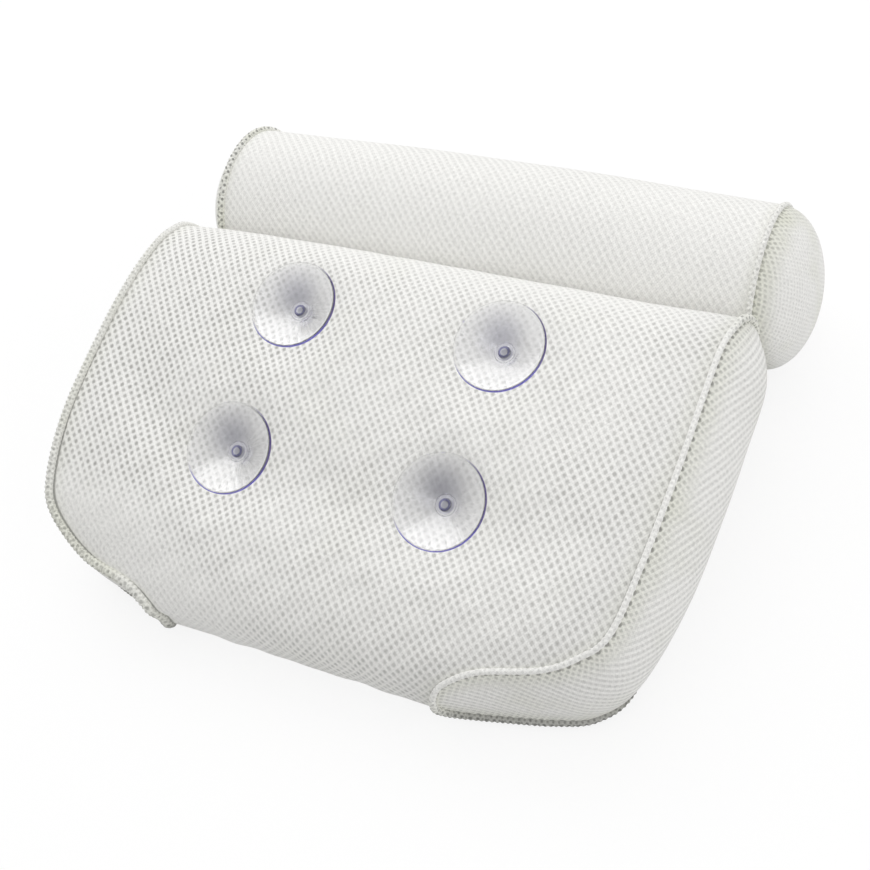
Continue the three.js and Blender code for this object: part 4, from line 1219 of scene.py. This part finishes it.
print("finishes")
wrapFinish = meshFinish("airMeshWrap", dict(
    scale=1.0, contrast=1.06, ribs=-0.13, reach=12, tint=0.12, seamTint=0.25, fadeAcross=0.26,
    fadeLow=0.12, fadeCorner=0.7, fadeTop=0.5, crease=0.8,
    # painted shade round each cup's neck, one depth for each cup
    dimple=dict(left=5, above=7, reach=0.035, curve=1.3, opened=0.7,
                depths=(0.36, 0.46, 0.3, 0.22))))
sideFinish = meshFinish("airMeshSide", dict(
    scale=0.9, contrast=0.5, ribs=0.6, nearScale=0.85, nearContrast=0.7, reach=17, tint=0.4,
    seamTint=0.6, rows=[dict(away=1.3, pitch=5.3, radius=1.4, depth=0.85)]))
rollFinish = meshFinish("airMeshRoll", dict(
    scale=1.03, contrast=0.33, ribs=-0.3, reach=8, tint=0.04, seamTint=0.2, crease=0.5))
endFinish = meshFinish("airMeshRollEnd", dict(
    scale=0.6, contrast=0.34, ribs=0.0, nearScale=0.8, nearContrast=0.75, reach=16, tint=0.6,
    seamTint=0.8, rows=[dict(away=1.2, pitch=4.6, radius=1.15, depth=0.6)]))
ridgeMesh = ridgeFinish("rolledMesh", dict(
    scale=0.6, fineScale=0.3, contrast=0.42, faint=0.1, pressed=(0.008, 0.024), pressedNet=0.4,
    shaded=0.42, wornX=(-0.08, 0), wornY=(0.02, 0.06), worn=0.42, clearLow=0.2, clearBold=0.8,
    tint=0.8, tintScale=30.0, tintEdge=(0.3, 0.65), tintLow=0.4, tintMore=0.6,
    rows=[dict(away=-1.5, pitch=4.2, radius=0.95, depth=0.9),
          dict(away=0.9, pitch=4.2, radius=1.0, depth=0.9, shift=2.1),
          dict(away=3.3, pitch=4.2, radius=0.95, depth=0.8)]))
vinylMaterial = vinylFinish()
washerFinish = plainFinish("washerPlastic", colour(0.86, 0.86, 0.85), 0.4, 300, 0.0001)
tricotFinish = meshFinish("patchTricot", dict(scale=0.2, contrast=0.5, ribs=0.5, reach=5, tint=0.1,
                                              seamTint=0.0))
fibreFinish = plainFinish("polyFibre", colour(0.93, 0.93, 0.93), 0.95, 120, 0.002)

print("pad")
padCover = makePadCover(wrapFinish)
cutNeckHoles(padCover, wrapFinish)
declare(padCover, "pad", "pad_cover", "mesh", 0.8)
declare(makePadFilling(fibreFinish), "pad", "pad_filling", "fill", 0.8)
for side in sides:
    declare(makeSidePanel(side, sideFinish), "pad", "pad_side_panel_" + side, "mesh", 0.8)
    declare(makePadSeam(side, ridgeMesh), "pad", "pad_seam_" + side, "seam")

print("roll")
declare(makeRollCover(rollFinish), "roll", "roll_cover", "mesh", 0.9)
declare(makeRollFilling(fibreFinish), "roll", "roll_filling", "fill", 0.9)
for side in sides:
    declare(makeRollEnd(side, endFinish), "roll", "roll_end_" + side, "mesh", 0.8)
    declare(makeRollSeam(side, ridgeMesh), "roll", "roll_seam_" + side, "seam")

print("fold strip")
foldStrip = makeFoldStrip(tricotFinish)
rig.replaces(foldStrip, "fold_web")
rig.slot(foldStrip, "seam")

print("suction cups")
for one in cups:
    makeSuctionCup(one, vinylMaterial)
    makeCupPatch(one, tricotFinish)
    washer = frame["nodes"]["retaining_washer_" + one["name"]]
    washer.data.materials.clear()
    washer.data.materials.append(washerFinish)

# Studio: a white floor, a soft sky and two soft lamps
studio = dict(floorSize=6, floorDrop=0.0004, floorShade=0.85, floorGlow=0.8, glow=1.05,
              skyLow=0.345, skyHigh=0.835, skyFrom=-0.55, skyTo=0.9, skyBright=(-0.4, 0.5, 0.77))
lamps = [dict(name="keyLamp", place=(-0.6, 0.78, 1.27), power=8, size=(1.9, 1.2),
              along=(0.9, -0.04, 0.44)),
         dict(name="fillLamp", place=(1.35, -0.25, 0.85), power=4.6, size=(1, 1), along=(0, 1, 0))]


def makeFloor():
    mesh = bpy.data.meshes.new("floor")
    half = studio["floorSize"] / 2
    mesh.from_pydata([(-half, -half, 0), (half, -half, 0), (half, half, 0), (-half, half, 0)], [],
                     [(0, 1, 2, 3)])
    floor = addObject("floor", mesh)
    floor.location.z = -studio["floorDrop"]
    made = Finish("whiteFloor")
    rays = made.node("LightPath")
    seen = None
    for kind in ("Camera", "Glossy", "Transmission"):
        seen = greater(seen, Term(made, rays.outputs[f"Is {kind} Ray"]))
    matte = made.node("BsdfDiffuse", {}, {"Color": colour(*[studio["floorShade"]] * 3)}).outputs[0]
    glow = {"Color": colour(1, 1, 1), "Strength": studio["glow"]}
    glow = made.node("Emission", {}, glow).outputs[0]
    mesh.materials.append(made.show(made.mixShader(seen * studio["floorGlow"], matte, glow)))
    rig.stage(floor)


def stand(thing, place, back, right):
    # set up at a place, looking against its back, with its own right-hand side turned to right
    turn = Matrix(np.stack([right, np.cross(back, right), back], 1).tolist()).to_4x4()
    thing.matrix_world = Matrix.Translation(place) @ turn


def makeLamp(name, place, power, size, along):
    # a softbox that faces the pillow, its long side turned along a direction
    data = bpy.data.lights.new(name, "AREA")
    data.energy, data.shape = power, "RECTANGLE"
    data.size, data.size_y = size
    back, along = unit(np.array(place)), np.array(along)
    stand(addObject(name, data), place, back, unit(along - back * (back @ along)))


def makeSky():
    # brighter overhead and behind the pillow than in front of it, and white to the camera
    made = Finish("sky", bpy.data.worlds.new("sky"))
    bpy.context.scene.world = made.owner
    way = made.node("TexCoord").outputs["Generated"]
    facing = made.term("VectorMath", dict(operation="DOT_PRODUCT"),
                       {0: way, 1: studio["skyBright"]}, "Value")
    glow = made.term("MapRange", {}, {
        "Value": facing, "From Min": studio["skyFrom"], "From Max": studio["skyTo"],
        "To Min": studio["skyLow"], "To Max": studio["skyHigh"]})
    toCamera = made.node("LightPath").outputs["Is Camera Ray"]
    strength = made.term("MapRange", {}, {"Value": toCamera, "To Min": glow, "To Max": 1})
    sky = made.node("Background", {}, {"Color": colour(1, 1, 1), "Strength": strength})
    made.node("OutputWorld", {}, {"Surface": sky.outputs[0]})


# The photograph's camera: where it stands, which way it looks and how far it is rolled
view = dict(place=(0.3248, -0.3794, 0.6379), azimuth=40.39, elevation=51.71, roll=-20.44,
            lens=57.12, sensor=36)


def makeCamera():
    a, e, r = (math.radians(view[key]) for key in ("azimuth", "elevation", "roll"))
    back = np.array([math.sin(a) * math.cos(e), -math.cos(a) * math.cos(e), math.sin(e)])
    level = np.array([math.cos(a), math.sin(a), 0])
    above = np.cross(back, level)
    right = level * math.cos(r) + above * math.sin(r)
    data = bpy.data.cameras.new("camera")
    data.lens, data.sensor_width = view["lens"], view["sensor"]
    camera = addObject("camera", data)
    stand(camera, view["place"], back, right)
    bpy.context.scene.camera = camera


print("studio")
makeFloor()
makeSky()
for lamp in lamps:
    makeLamp(**lamp)
makeCamera()
bpy.context.scene.view_settings.view_transform = "Standard"

with open("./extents.json", "w") as file:
    json.dump([[list(corner) for corner in box] for box in (cadBox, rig.bounds())], file)
